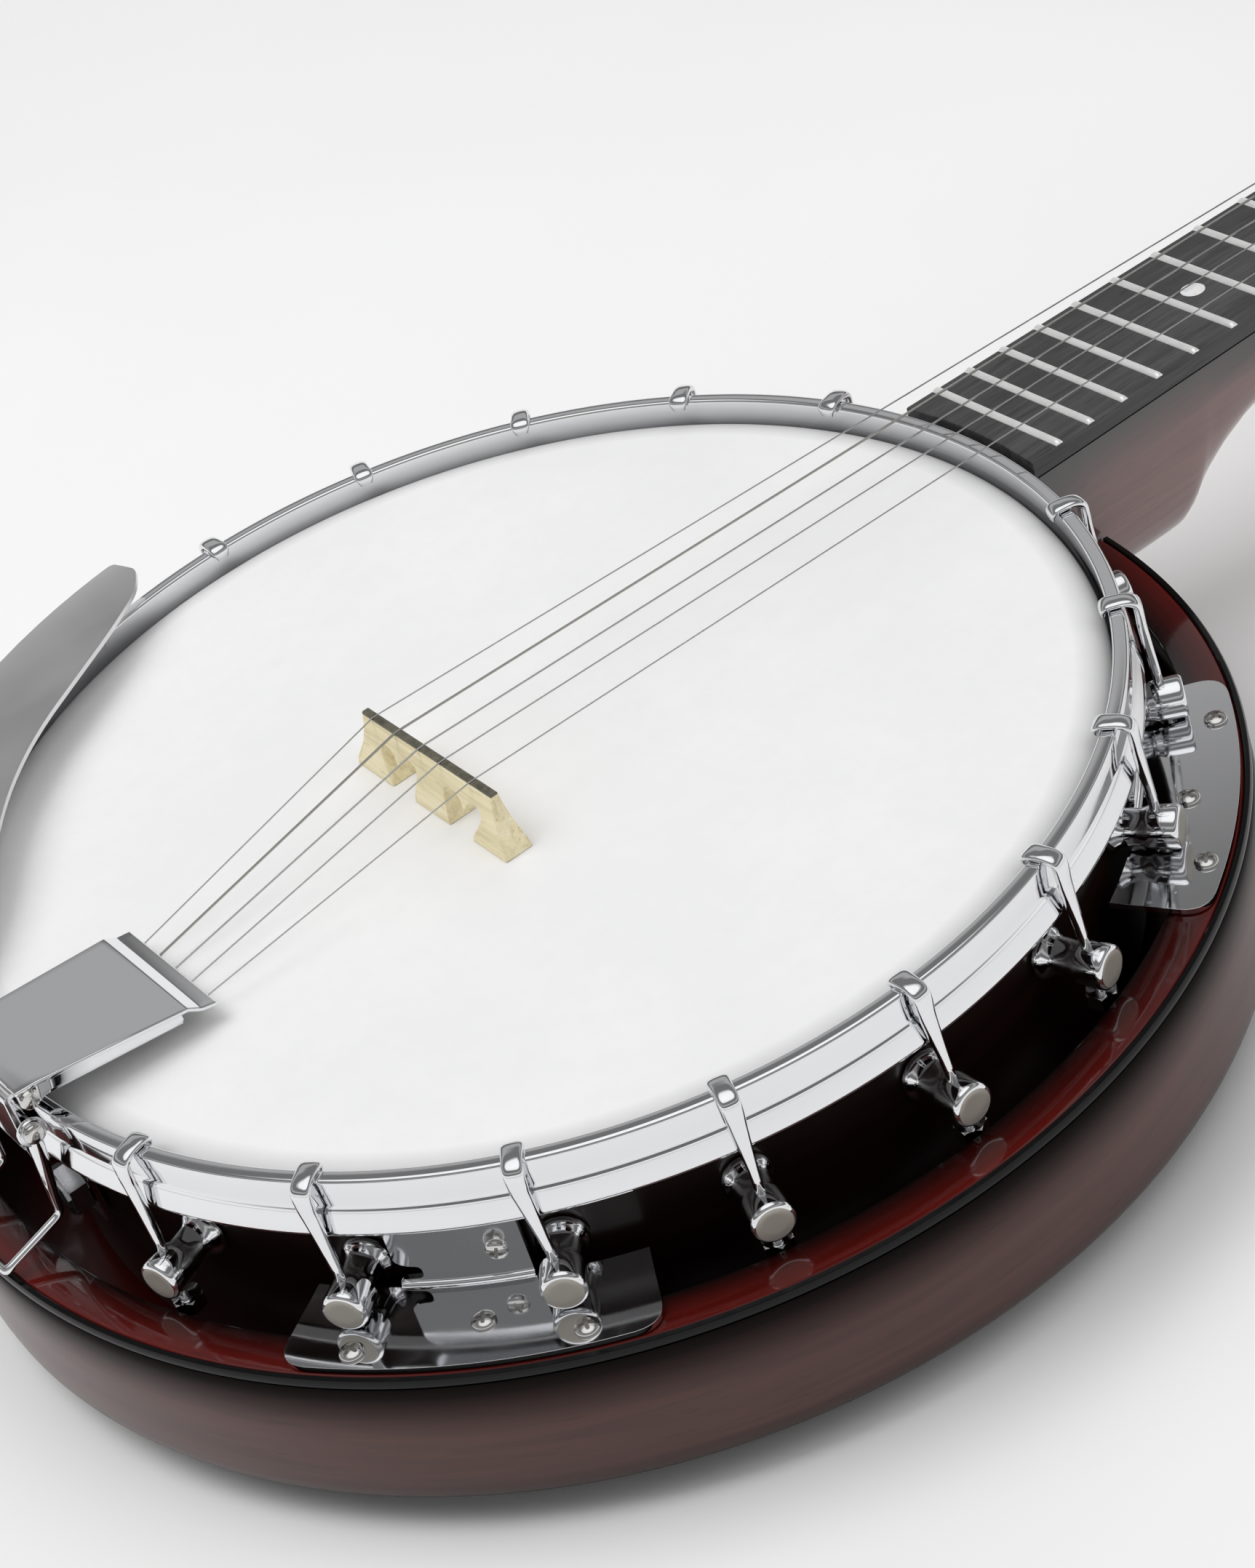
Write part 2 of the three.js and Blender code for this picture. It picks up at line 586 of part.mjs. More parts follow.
// open-topped tray
function addTailpieceBase() {
  const block = common(side([
    [-148.2, 88.63], [TAIL_BASE_END_X, 84.8], [TAIL_BASE_END_X, 88], [-144, 92.8],
    [-147.4, 93], [-148.6, 92.95], [-149.5, 92.2], [-149.75, 91.3], [-149.4, 90.3],
    [-148.2, 89.7],
  ], -30, 30), trapezium(-151, 15.2, TAIL_BASE_END_X, 17.8, 70, 110));
  const hollow = common(side([
    [-160, 90.88], [-151, 90], [TAIL_BASE_END_X, 85.9], [-100, 85.02], [-100, 110],
    [-160, 110],
  ], -30, 30), trapezium(-160, 13.4, -100, 17, 70, 120));
  const pinHole = rodY(1.35, -30, 30, COVER_PIVOT.x, COVER_PIVOT.z);
  piece('tailpiece_base', cut(block, hollow, pinHole), 'chrome');
}

function addTailpieceCover() {
  const plan = trapezium(-151, 17, -100, 20.4, 70, 110);
  const top = common(side([
    [-150.5, 94.8], [-150.5, 93.4], [-144, 93.2], [-108, 88.3], [-101.2, 86.3],
    [-100.8, 87.2], [-107.6, 89.7], [-145, 94.7],
  ], -30, 30), plan);
  const skirtBlock = common(side([
    [-150.4, 93.9], [-150.4, 90.2], [-149, 89.2], [-146, 89.2], [-143, 90.6],
    [-112, 86.9], [-109, 87.5], [-109, 89.5], [-145, 94],
  ], -30, 30), plan);
  const skirts = cut(skirtBlock, trapezium(-152, 15.5, -99, 18.9, 60, 120));
  const pin = rodY(1, -16.2, 16.2, COVER_PIVOT.x, COVER_PIVOT.z);
  piece('tailpiece_cover', join(top, skirts, pin), 'chrome');
}

function addTailpieceBail() {
  piece('tailpiece_bail', wire([
    [-151.3, -17, 85], [-152.4, -13.9, 57], [-169.4, -14, 51.6],
    [-169.4, 14, 51.6], [-152.4, 13.9, 57], [-151.3, 17, 85],
  ], 1.1), 'chrome');
}

// ---------------------------------------------------------------- armrest
// an arc band whose ends are cut across and swept in, sloping down outwards, on two legs
function addArmrest() {
  const [start, end] = [98.4, 166];  // degrees round the pot
  const [inner, outer] = [129, 162];
  // [degrees in from the end, inner radius, outer radius]
  const tip = [
    [0, 151, 160.5], [0.4, 149, 161.7], [1.2, 146, outer], [2.6, 141.8, outer],
    [5, 138, outer], [10, 133.4, outer], [15.5, 130.4, outer], [21.5, inner, outer],
  ];
  const tipSpan = tip.at(-1)[0];
  const rows = [
    ...tip.map(([offset, r0, r1]) => [start + offset, r0, r1]),
    ...[0.25, 0.5, 0.75].map((share) =>
      [start + tipSpan + (end - start - 2 * tipSpan) * share, inner, outer]),
    ...tip.map(([offset, r0, r1]) => [end - offset, r0, r1]).reverse(),
  ];
  const at = (angle, r) => [r * Math.cos(rad(angle)), r * Math.sin(rad(angle))];
  const plate = clean(flat([
    ...rows.map(([angle, , r1]) => at(angle, r1)),
    ...rows.map(([angle, r0]) => at(angle, r0)).reverse(),
  ], 0, 1.6));
  const points = plate.attributes.position;
  for (let i = 0; i < points.count; i++) {
    const r = Math.hypot(points.getX(i), points.getY(i));
    points.setZ(i, points.getZ(i) + 92.6 - 0.14 * (r - inner));
  }
  const leg = (angle) => side([
    [150.2, 91.4], [150.2, 68.2], [146, 68.2], [146, 66.6], [151.8, 66.6], [151.8, 91.2],
  ], -6, 6).rotateZ(rad(angle));
  piece('armrest', join(plate, leg(117), leg(153)), 'chrome');
}

// ---------------------------------------------------------------- strings
// path from the tailpiece to the bridge, then on through the points given
function addString(i, beyondBridge) {
  const tailY = TAIL_STRING_Y[i];
  piece(`string_${i + 1}`, wire([
    [-138, tailY * 0.9, 89.4], [TAIL_BASE_END_X, tailY * 0.98, 86.45], [-101, tailY, 85.6],
    [BRIDGE_X, BRIDGE_STRING_Y[i], BRIDGE_TOP + STRING_SEAT],
    ...beyondBridge,
  ], STRING_R, 5), 'steel');
}

function addStrings() {
  NUT_STRING_Y.forEach((nutY, i) => {
    // each string ends on the inner side of its post
    const edge = i < 2 ? -1 : 1;
    const postX = POST_X[i < 2 ? i : 3 - i];
    const y = edge * (POST_Y - POST_R - STRING_R - 0.35);
    const end = new THREE.Vector3(postX, y, 8)
      .applyMatrix4(pegMatrix).applyMatrix4(neckGroup.matrix);
    addString(i, [
      neckToWorld(NUT_X - 0.4, nutY, NUT_TOP + STRING_SEAT),
      neckToWorld(NUT_X + 5, nutY, NUT_TOP + STRING_SEAT),
      end.toArray(),
    ]);
  });
  const { x, y, top } = FIFTH_NUT;
  addString(4, [
    neckToWorld(x - 2, y, top + STRING_SEAT),
    neckToWorld(x + 2, y + 0.6, top + STRING_SEAT),
    neckToWorld(FIFTH_PEG_X - 9, FIFTH_SEAT_Y + 2.2, -1.2),
    neckToWorld(FIFTH_PEG_X, FIFTH_SEAT_Y + 6.2, FIFTH_PEG_Z + FIFTH_POST_R + STRING_SEAT),
  ]);
}

// ---------------------------------------------------------------- assembly
addResonator();
addRim();
addToneRing();
addHead();
addTensionHoop();
addBrackets();
addFlangePlates();
addCoordinatorRod();
addNeck();
addFingerboard();
addNuts();
neckGroup.add(pegGroup);
addTrussRodCover();
addTuners();
addFifthPeg();
addBridge();
addTailpieceHanger();
addTailpieceBase();
addTailpieceCover();
addTailpieceBail();
addArmrest();
addStrings();

export default banjo;
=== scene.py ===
"""A five-string resonator banjo lying on its back.

The pot is centred on the Z axis with its drum head facing up, the neck runs towards +X, the
tailpiece is at -X and the fifth string is on the +Y side. Lengths are in mm and are scaled to
metres as meshes and placements are made. Angles round the pot are in degrees from +X towards +Y.
"""
import math

import bmesh
import bpy
import numpy as np
from mathutils import Matrix, Vector


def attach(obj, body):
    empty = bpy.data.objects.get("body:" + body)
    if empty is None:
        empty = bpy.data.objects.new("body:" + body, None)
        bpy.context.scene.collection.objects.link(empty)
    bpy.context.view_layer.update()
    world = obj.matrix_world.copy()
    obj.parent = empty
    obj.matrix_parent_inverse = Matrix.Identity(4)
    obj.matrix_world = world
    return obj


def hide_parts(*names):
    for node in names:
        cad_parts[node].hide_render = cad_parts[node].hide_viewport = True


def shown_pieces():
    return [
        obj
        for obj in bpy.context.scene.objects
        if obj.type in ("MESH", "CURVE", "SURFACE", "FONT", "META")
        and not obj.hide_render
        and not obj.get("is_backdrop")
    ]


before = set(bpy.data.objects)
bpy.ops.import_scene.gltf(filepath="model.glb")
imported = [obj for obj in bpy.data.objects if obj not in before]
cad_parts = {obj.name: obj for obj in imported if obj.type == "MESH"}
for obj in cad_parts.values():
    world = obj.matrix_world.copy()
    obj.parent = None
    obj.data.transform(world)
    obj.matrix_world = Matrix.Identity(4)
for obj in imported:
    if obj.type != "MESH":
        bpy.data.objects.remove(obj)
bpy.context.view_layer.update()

MM = 0.001
SCENE = bpy.context.scene
rad = math.radians


def at(x, y, z):
    return Matrix.Translation((x, y, z))


def spin(angle, axis='Z'):
    return Matrix.Rotation(angle, 4, axis)


# ---------------------------------------------------------------- driving dimensions
# Pot
HOOP_TOP, HEAD_TOP = 86.0, 81.5
RIM_OUT, RIM_IN, RIM_LOW, RIM_HIGH = 139.7, 128.0, 13.5, 73.0
SHOE_Z = 55.9
LEDGE_TOP, LEDGE_IN = 48.6, 157.6
WALL_R = 168.0                     # radius at which the heel notch is laid out
NOTCH_HALF = 19.2                  # half width of the notch in the resonator wall
BRACKET_ANGLES = [18 * step for step in range(1, 20) if step != 10]
SHOE_TURN = {198: 1.3, 216: 1.0, 234: 1.0, 270: 0.5, 288: 0.3}   # shoes a little round from hooks

# Flange plates and the upright tabs beside them
PLATE_Z, PLATE_T, PLATE_HALF_ANGLE = 48.95, 1.5, 15.0
PLATE_IN, PLATE_OUT, PLATE_CORNER = 144.2, 167.5, 7
PLATE_ANGLES = [47, 133, 227, 313]
TAB_ANGLES = [45, 135, 226, 315]
TAB_R, TAB_BEND = 143.0, 1.5
TAB_FACE = 143.7                   # radius of the tab's outer face
TAB_WIDTH = rad(12.0) * TAB_R

# Neck; in its own frame the face of the fingerboard is z = 0
FRET_START, SCALE_LENGTH, FRETS = -29.85, 667.0, 22
NUT_X = FRET_START + SCALE_LENGTH
MARKED_FRETS = (3, 5, 7, 10, 12, 15, 17)
BOARD_T = 5.0
NECK_CUT_R = 149.35                # where the neck meets the tension hoop
NECK_PIVOT = 150
HEEL_Z = -60.4
PEG_ORIGIN = (642, 0.6, -4.2)
PEG_TILT, PEG_T, PEG_LEN = rad(12), 14.0, 152.0
PEG_BACK = -PEG_T - 0.3
POST_X, POST_Y = [46.0, 102.0], 21.5
NECK_PLACE = at(NECK_PIVOT, 0, HOOP_TOP) @ spin(rad(1.1), 'Y') @ at(-NECK_PIVOT, 0, 0)
PEG_PLACE = NECK_PLACE @ at(*PEG_ORIGIN) @ spin(PEG_TILT, 'Y')

# Strings, numbered from -Y
BRIDGE_X, BRIDGE_TOP = -22.3, 96.8
BRIDGE_Y = [-18.2, -5.4, 3.8, 14.2, 24.4]
TAIL_Y = [-15, -7.5, 0, 7.4, 14.6]
NUT_Y = [-11.2, -2.9, 5, 13]
FIFTH_NUT_X, FIFTH_NUT_Y = 473.2, 16.4
FIFTH_PEG_X, FIFTH_PEG_Z = 487.0, -13.0
STRING_R = [0.20, 0.22, 0.26, 0.33, 0.20]
STRING_LIFT = 0.25                 # string centre above its seat
SLOT_HALF = 0.45


def half_minus_y(x):
    """Distance from the centre line to the neck's -Y edge."""
    return 23.8 - 0.0177 * (x - 150)


def half_plus_y(x):
    """Distance to the +Y edge, which steps in just before the fifth-string peg."""
    step_start, step_end = 458, 480
    if x <= step_start:
        return 25.3 - 0.0145 * (x - 150)
    if x >= step_end:
        return 17.9 - 0.0095 * (x - step_end)
    t = (x - step_start) / (step_end - step_start)
    return 20.83 - 2.93 * (0.5 * t + 0.5 * t * t * (3 - 2 * t))


def fret_x(number):
    return FRET_START + SCALE_LENGTH * 2 ** (-number / 12)


def rod_r(z):
    """Radius of a hook's rod from the pot's axis; the rod leans outwards going down."""
    return 150.7 + (76 - z) * 0.0675


# ---------------------------------------------------------------- outlines and curves
def ease(t):
    t = max(0.0, min(1.0, t))
    return t * t * (3 - 2 * t)


def signed_power(value, power):
    return math.copysign(abs(value) ** power, value)


def full_turn(count):
    return [2 * math.pi * k / count for k in range(count)]


def corner_curve(start, corner, end, t):
    return (1 - t) ** 2 * start + 2 * t * (1 - t) * corner + t * t * end


def rounded(points, radii, steps):
    """An outline with each corner rounded off; one radius, or one for each corner."""
    points = np.array(points, float)
    radii = np.broadcast_to(radii, len(points))
    outline = []
    for i, corner in enumerate(points):
        before, after = points[i - 1] - corner, points[(i + 1) % len(points)] - corner
        len_before, len_after = np.linalg.norm(before), np.linalg.norm(after)
        reach = min(radii[i], len_before * 0.45, len_after * 0.45)
        start = corner + before / len_before * reach
        end = corner + after / len_after * reach
        outline += [corner_curve(start, corner, end, k / steps) for k in range(steps + 1)]
    return outline


def rectangle(x0, x1, y0, y1):
    return [(x0, y0), (x1, y0), (x1, y1), (x0, y1)]


def hexagon(across_flats):
    radius = across_flats / 2 / math.cos(math.pi / 6)
    return [(radius * math.cos(a), radius * math.sin(a)) for a in full_turn(6)]


def mirrored(half):
    """A closed outline from its +Y half."""
    return [(x, y) for x, y in half] + [(x, -y) for x, y in half[::-1]]


def spline(points, steps, closed=False):
    """A Catmull-Rom curve through the points."""
    points = np.array(points, float)
    if closed:
        guides = np.concatenate([points[-1:], points, points[:2]])
    else:
        first, last = 2 * points[:1] - points[1:2], 2 * points[-1:] - points[-2:-1]
        guides = np.concatenate([first, points, last])
    curve = []
    for p0, p1, p2, p3 in zip(guides, guides[1:], guides[2:], guides[3:]):
        for k in range(steps):
            t = k / steps
            curve.append(0.5 * ((2 * p1) + (-p0 + p2) * t + (2 * p0 - 5 * p1 + 4 * p2 - p3) * t * t
                                + (-p0 + 3 * p1 - 3 * p2 + p3) * t ** 3))
    if not closed:
        curve.append(points[-1])
    return np.array(curve)


def directions(path):
    """Unit tangent at each point of a path."""
    padded = np.concatenate([path[:1], path, path[-1:]])
    steps = padded[2:] - padded[:-2]
    return steps / (np.linalg.norm(steps, axis=1, keepdims=True) + 1e-12)


# ---------------------------------------------------------------- solids as (points, faces)
def transformed(points, matrix):
    matrix = np.array(matrix)
    return np.asarray(points, float) @ matrix[:3, :3].T + matrix[:3, 3]


def placed(part, matrix):
    return transformed(part[0], matrix), part[1]


def shift(part, offset, side=1):
    """The part moved; side -1 mirrors it in Y first."""
    return np.asarray(part[0], float) * (1, side, 1) + np.array(offset), part[1]


def merge(*parts):
    points, faces, start = [], [], 0
    for part_points, part_faces in parts:
        points.append(np.asarray(part_points, float))
        faces += [tuple(i + start for i in face) for face in part_faces]
        start += len(part_points)
    return np.concatenate(points), faces


def lay_along(part, axis):
    """A part built up Z, turned to run along X or Y."""
    points, faces = part
    if axis == 'X':
        points = points[:, [2, 1, 0]] * np.array([1, 1, -1])
    if axis == 'Y':
        points = np.stack([points[:, 0], points[:, 2], -points[:, 1]], 1)
    return points, faces


def skin(rows):
    """Faces joining rows of point numbers in turn; a row of one point is a pole.

    The last row joins the first unless either is a pole.
    """
    pairs = list(zip(rows[:-1], rows[1:]))
    if len(rows[0]) > 1 and len(rows[-1]) > 1:
        pairs.append((rows[-1], rows[0]))
    faces = []
    for a, b in pairs:
        count = max(len(a), len(b))
        if count == 1:
            continue
        for j in range(count):
            k = (j + 1) % count
            if len(a) == 1:
                faces.append((a[0], b[k], b[j]))
            elif len(b) == 1:
                faces.append((a[j], a[k], b[0]))
            else:
                faces.append((a[j], a[k], b[k], b[j]))
    return faces


def revolve(profile, segments, axis='Z'):
    """A turned solid from (radius, height) points."""
    points, rows = [], []
    for radius, height in profile:
        angles = full_turn(segments) if radius > 1e-6 else [0.0]
        rows.append(list(range(len(points), len(points) + len(angles))))
        points += [(radius * math.cos(a), radius * math.sin(a), height) for a in angles]
    return lay_along((np.array(points, float), skin(rows)), axis)


def loft(rings):
    """A capped solid through rings of equal point count."""
    n = len(rings[0])
    faces = []
    for i in range(len(rings) - 1):
        a, b = i * n, (i + 1) * n
        for j in range(n):
            k = (j + 1) % n
            faces.append((a + j, a + k, b + k, b + j))
    faces.append(tuple(range(n - 1, -1, -1)))
    faces.append(tuple((len(rings) - 1) * n + j for j in range(n)))
    return np.array([point for ring in rings for point in ring], float), faces


def prism(outline, z0, z1):
    n = len(outline)
    points = [(x, y, z) for z in (z0, z1) for x, y in outline]
    sides = [(j, (j + 1) % n, n + (j + 1) % n, n + j) for j in range(n)]
    return np.array(points, float), [tuple(range(n - 1, -1, -1)), tuple(range(n, 2 * n))] + sides


def side_prism(outline, y0, y1):
    """An (x, z) outline drawn out along Y."""
    points, faces = prism(outline, y0, y1)
    return np.stack([points[:, 0], points[:, 2], points[:, 1]], 1), faces


def slab(face, back):
    """A solid between two matching outlines in space."""
    n = len(face)
    sides = [(j, n + j, n + (j + 1) % n, (j + 1) % n) for j in range(n)]
    return face + back, [tuple(range(n)), tuple(range(2 * n - 1, n - 1, -1))] + sides


def tube(path, radius, sides):
    """A round bar along a path; one radius, or one for each point."""
    path = np.array(path, float)
    radii = np.broadcast_to(radius, len(path))
    along = directions(path)
    across = np.array((0, 0, 1) if abs(along[0][2]) < 0.9 else (1, 0, 0), float)
    rings = []
    for centre, tangent, r in zip(path, along, radii):
        across = across - tangent * across.dot(tangent)
        across /= np.linalg.norm(across)
        other = np.cross(tangent, across)
        rings.append([centre + r * (math.cos(a) * across + math.sin(a) * other)
                      for a in full_turn(sides)])
    return loft(rings)


# ---------------------------------------------------------------- meshes and objects
def shade(mesh, angle):
    """Smooth shading, with edges sharper than the angle kept crisp."""
    mesh.polygons.foreach_set("use_smooth", [True] * len(mesh.polygons))
    if angle is not None:
        mesh.set_sharp_from_angle(angle=rad(angle))
    mesh.update()
    return mesh


def new_mesh(part, angle=35):
    points, faces = part
    mesh = bpy.data.meshes.new("piece")
    mesh.from_pydata([tuple(float(c) * MM for c in point) for point in points], [],
                     [tuple(int(i) for i in face) for face in faces])
    mesh.validate()
    bm = bmesh.new()
    bm.from_mesh(mesh)
    bmesh.ops.recalc_face_normals(bm, faces=bm.faces)
    if bm.calc_volume(signed=True) < 0:
        bmesh.ops.reverse_faces(bm, faces=bm.faces)
    bm.to_mesh(mesh)
    bm.free()
    return shade(mesh, angle)


def applied(mesh, kind, **settings):
    """The mesh with one modifier worked in."""
    holder = bpy.data.objects.new("tmp_mod", mesh)
    SCENE.collection.objects.link(holder)
    modifier = holder.modifiers.new(kind, kind)
    for key, value in settings.items():
        setattr(modifier, key, value)
    bpy.context.view_layer.update()
    depsgraph = bpy.context.evaluated_depsgraph_get()
    result = bpy.data.meshes.new_from_object(holder.evaluated_get(depsgraph))
    bpy.data.objects.remove(holder)
    return result


def weighted(mesh):
    """Wide faces keep their own normal, so that flat polished sheets mirror as flats."""
    return applied(mesh, 'WEIGHTED_NORMAL', mode='FACE_AREA', weight=50, keep_sharp=True)


def bevelled(mesh, width, segments=2, limit=45, angle=40, flat=True):
    result = applied(mesh, 'BEVEL', width=width * MM, segments=segments, limit_method='ANGLE',
                     angle_limit=rad(limit), harden_normals=False, use_clamp_overlap=True)
    shade(result, angle)
    return weighted(result) if flat else result


def boolean(mesh, cutter_mesh, operation='DIFFERENCE', angle=35):
    cutter = bpy.data.objects.new("tmp_cut", cutter_mesh)
    SCENE.collection.objects.link(cutter)
    result = applied(mesh, 'BOOLEAN', operation=operation, solver='EXACT', object=cutter)
    bpy.data.objects.remove(cutter)
    return shade(result, angle)


def transform_mesh(mesh, matrix):
    for vertex in mesh.vertices:
        vertex.co = Vector(transformed([np.array(vertex.co) / MM], matrix)[0]) * MM


def add_wood_data(mesh, burst_and_shade, round_grain=True):
    """Per-point values for the wood: sunburst and painted shade from the given function of (x, y,
    z), and grain round the pot.
    """
    co = np.zeros(len(mesh.vertices) * 3)
    mesh.vertices.foreach_get("co", co)
    co = co.reshape(-1, 3) / MM
    values = np.array([burst_and_shade(*point) for point in co], np.float32)
    mesh.attributes.new("burst_and_shade", 'FLOAT', 'POINT').data.foreach_set("value", values)
    if round_grain:
        radius = np.hypot(co[:, 0], co[:, 1])
        angle = np.arctan2(co[:, 1], co[:, 0])
        angle = np.where(angle < 0, angle + 2 * math.pi, angle)     # the seam falls at the neck
        grain = np.stack([angle * 0.17, radius * MM, co[:, 2] * MM], 1)
        layer = mesh.attributes.new("grain", 'FLOAT_VECTOR', 'POINT')
        layer.data.foreach_set("vector", grain.astype(np.float32).ravel())


def put(name, mesh, material, replaces=None, body="banjo", place=None):
    """Adds a piece; a mesh that already has materials keeps them."""
    piece = bpy.data.objects.new(name, mesh)
    SCENE.collection.objects.link(piece)
    if place is not None:
        matrix = place.copy()
        matrix.translation = matrix.translation * MM
        piece.matrix_world = matrix
    if not mesh.materials:
        mesh.materials.append(material)
    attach(piece, body)
    if replaces:
        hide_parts(replaces)


# ---------------------------------------------------------------- shader building
class Shader:
    """The node tree of a material or world; arguments may be numbers or sockets."""

    def __init__(self, owner):
        owner.use_nodes = True
        self.tree = owner.node_tree
        self.tree.nodes.clear()

    def add(self, kind):
        return self.tree.nodes.new("ShaderNode" + kind)

    def feed(self, socket, value):
        if isinstance(value, bpy.types.NodeSocket):
            self.tree.links.new(value, socket)
        else:
            socket.default_value = value

    def math(self, operation, a, b=0.0, clamp=False):
        node = self.add("Math")
        node.operation = operation
        node.use_clamp = clamp
        self.feed(node.inputs[0], a)
        self.feed(node.inputs[1], b)
        return node.outputs[0]

    def weigh(self, first, share, second):
        """The first value's share plus the rest of the second."""
        return self.math('ADD', self.math('MULTIPLY', first, share),
                         self.math('MULTIPLY', second, 1 - share))

    def mix(self, factor, a, b):
        node = self.add("Mix")
        node.data_type = 'RGBA'
        self.feed(node.inputs[0], factor)
        for socket, color in ((node.inputs[6], a), (node.inputs[7], b)):
            self.feed(socket, (*color, 1.0) if isinstance(color, tuple) else color)
        return node.outputs[2]

    def stretched(self, vector, stretch):
        node = self.add("Mapping")
        self.feed(node.inputs[0], vector)
        node.inputs["Scale"].default_value = stretch
        return node.outputs[0]

    def coords(self, stretch=(1, 1, 1)):
        return self.stretched(self.add("TexCoord").outputs["Object"], stretch)

    def attribute(self, name, output):
        node = self.add("Attribute")
        node.attribute_name = name
        return node.outputs[output]

    def separate(self, vector):
        node = self.add("SeparateXYZ")
        self.feed(node.inputs[0], vector)
        return node.outputs

    def texture(self, kind, vector, **inputs):
        node = self.add("Tex" + kind)
        self.feed(node.inputs["Vector"], vector)
        for key, value in inputs.items():
            node.inputs[key.title()].default_value = value
        return node

    def noise(self, vector, scale, detail=3, roughness=0.5, distortion=0.0):
        return self.texture("Noise", vector, scale=scale, detail=detail, roughness=roughness,
                            distortion=distortion).outputs[0]

    def ramp(self, factor, stops):
        node = self.add("ValToRGB")
        self.feed(node.inputs[0], factor)
        elements = node.color_ramp.elements
        while len(elements) > 1:
            elements.remove(elements[-1])
        for i, (position, color) in enumerate(stops):
            element = elements[0] if i == 0 else elements.new(position)
            element.position = position
            element.color = (*color, 1.0)
        return node.outputs[0]

    def remap(self, value, to, span=(0.3, 0.7)):
        node = self.add("MapRange")
        self.feed(node.inputs[0], value)
        for i, limit in enumerate((*span, *to), 1):
            node.inputs[i].default_value = limit
        return node.outputs[0]

    def bump(self, height, strength, distance, normal=None):
        node = self.add("Bump")
        self.feed(node.inputs["Height"], height)
        node.inputs["Strength"].default_value = strength
        node.inputs["Distance"].default_value = distance
        if normal is not None:
            self.feed(node.inputs["Normal"], normal)
        return node.outputs[0]


class Surface(Shader):
    """A material with one Principled shader."""

    def __init__(self, name):
        self.material = bpy.data.materials.new(name)
        super().__init__(self.material)
        output = self.add("OutputMaterial")
        self.principled = self.add("BsdfPrincipled")
        self.feed(output.inputs[0], self.principled.outputs[0])

    def set(self, **inputs):
        for key, value in inputs.items():
            label = key.replace("_", " ").title().replace("Ior", "IOR")
            self.feed(self.principled.inputs[label], value)


# ---------------------------------------------------------------- materials
def metal(name, color, rough, tint=0.04, scratch=0.03, brushed=None, metallic=1.0):
    """Metal with uneven tint and gloss; brushed is the stretch of its brush marks."""
    s = Surface(name)
    place = s.coords()
    fine = s.noise(place, scale=900, detail=4, roughness=0.6)
    broad = s.noise(place, scale=45)
    smears = s.remap(broad, to=(rough * 0.75, rough + 0.05), span=(0.35, 0.7))
    s.set(base_color=s.mix(broad, tuple(c * (1 - tint) for c in color), color), metallic=metallic,
          roughness=s.math('ADD', smears, s.math('MULTIPLY', fine, rough * 0.3)))
    if brushed:
        marks = s.noise(s.coords(brushed), scale=400, detail=2)
        s.set(normal=s.bump(marks, strength=scratch, distance=0.0001))
    else:
        s.set(normal=s.bump(fine, strength=scratch, distance=0.00004))
    return s.material


def lacquer(name, tones, dark, round_grain=True, coat=1.0, coat_ior=1.52, specular=None,
            fade_gloss=False):
    """Stained wood under gloss lacquer; tones is the grain's ramp, dark the colour at the
    sunburst's edge and of the painted shade.

    The grain runs round the pot on its parts and along X on the neck.
    """
    s = Surface(name)
    if round_grain:
        place = s.attribute("grain", "Vector")
        grain_at, broad_at, pores_at = [s.stretched(place, stretch) for stretch in
                                        ((9, 140, 140), (3, 14, 14), (60, 900, 900))]
    else:
        grain_at, broad_at, pores_at = [s.coords(stretch) for stretch in
                                        ((9, 130, 130), (3.5, 16, 16), (60, 900, 900))]
    burst_and_shade = s.attribute("burst_and_shade", "Fac")
    grain = s.noise(grain_at, scale=1.6, detail=6, roughness=0.62, distortion=0.6)
    broad = s.noise(broad_at, scale=1.3, distortion=0.4)
    pores = s.noise(pores_at, scale=1.0, roughness=0.7)
    wood = s.ramp(s.weigh(grain, 0.62, broad), tones)
    # the wood darkens towards dark where the per-point value is low: sunburst on the neck, outside
    # wall and back, painted shade on the resonator's inside and ledge
    color = s.mix(s.math('MULTIPLY', burst_and_shade, 1.0, clamp=True), dark, wood)
    color = s.mix(s.remap(pores, to=(0.0, 0.35), span=(0.62, 0.72)), color, (0.004, 0.002, 0.002))
    s.set(base_color=color, roughness=s.remap(broad, to=(0.26, 0.36)), coat_weight=coat,
          coat_ior=coat_ior)
    if specular is not None:
        s.set(specular_ior_level=specular)
    if fade_gloss:                 # the gloss fades with the sunburst
        s.set(specular_ior_level=s.math('MULTIPLY', burst_and_shade, 0.2),
              coat_weight=s.math('ADD', 0.06, s.math('MULTIPLY', burst_and_shade, 0.34)))
    ripple = s.noise(s.coords(), scale=28, detail=2)
    s.set(coat_roughness=s.remap(ripple, to=(0.045, 0.09)),
          normal=s.bump(grain, strength=0.05, distance=0.0002),
          coat_normal=s.bump(ripple, strength=0.02, distance=0.0004))
    return s.material


def black_gloss(name, color, rough, shine):
    s = Surface(name)
    cloud = s.noise(s.coords(), scale=260, detail=4, roughness=0.6)
    s.set(base_color=s.mix(cloud, color, tuple(c * 1.9 for c in color)),
          roughness=s.remap(cloud, to=(rough * 0.8, rough * 1.5)), coat_weight=shine,
          coat_roughness=0.06, specular_ior_level=0.15 + 0.55 * shine,
          normal=s.bump(cloud, strength=0.04, distance=0.0001))
    return s.material


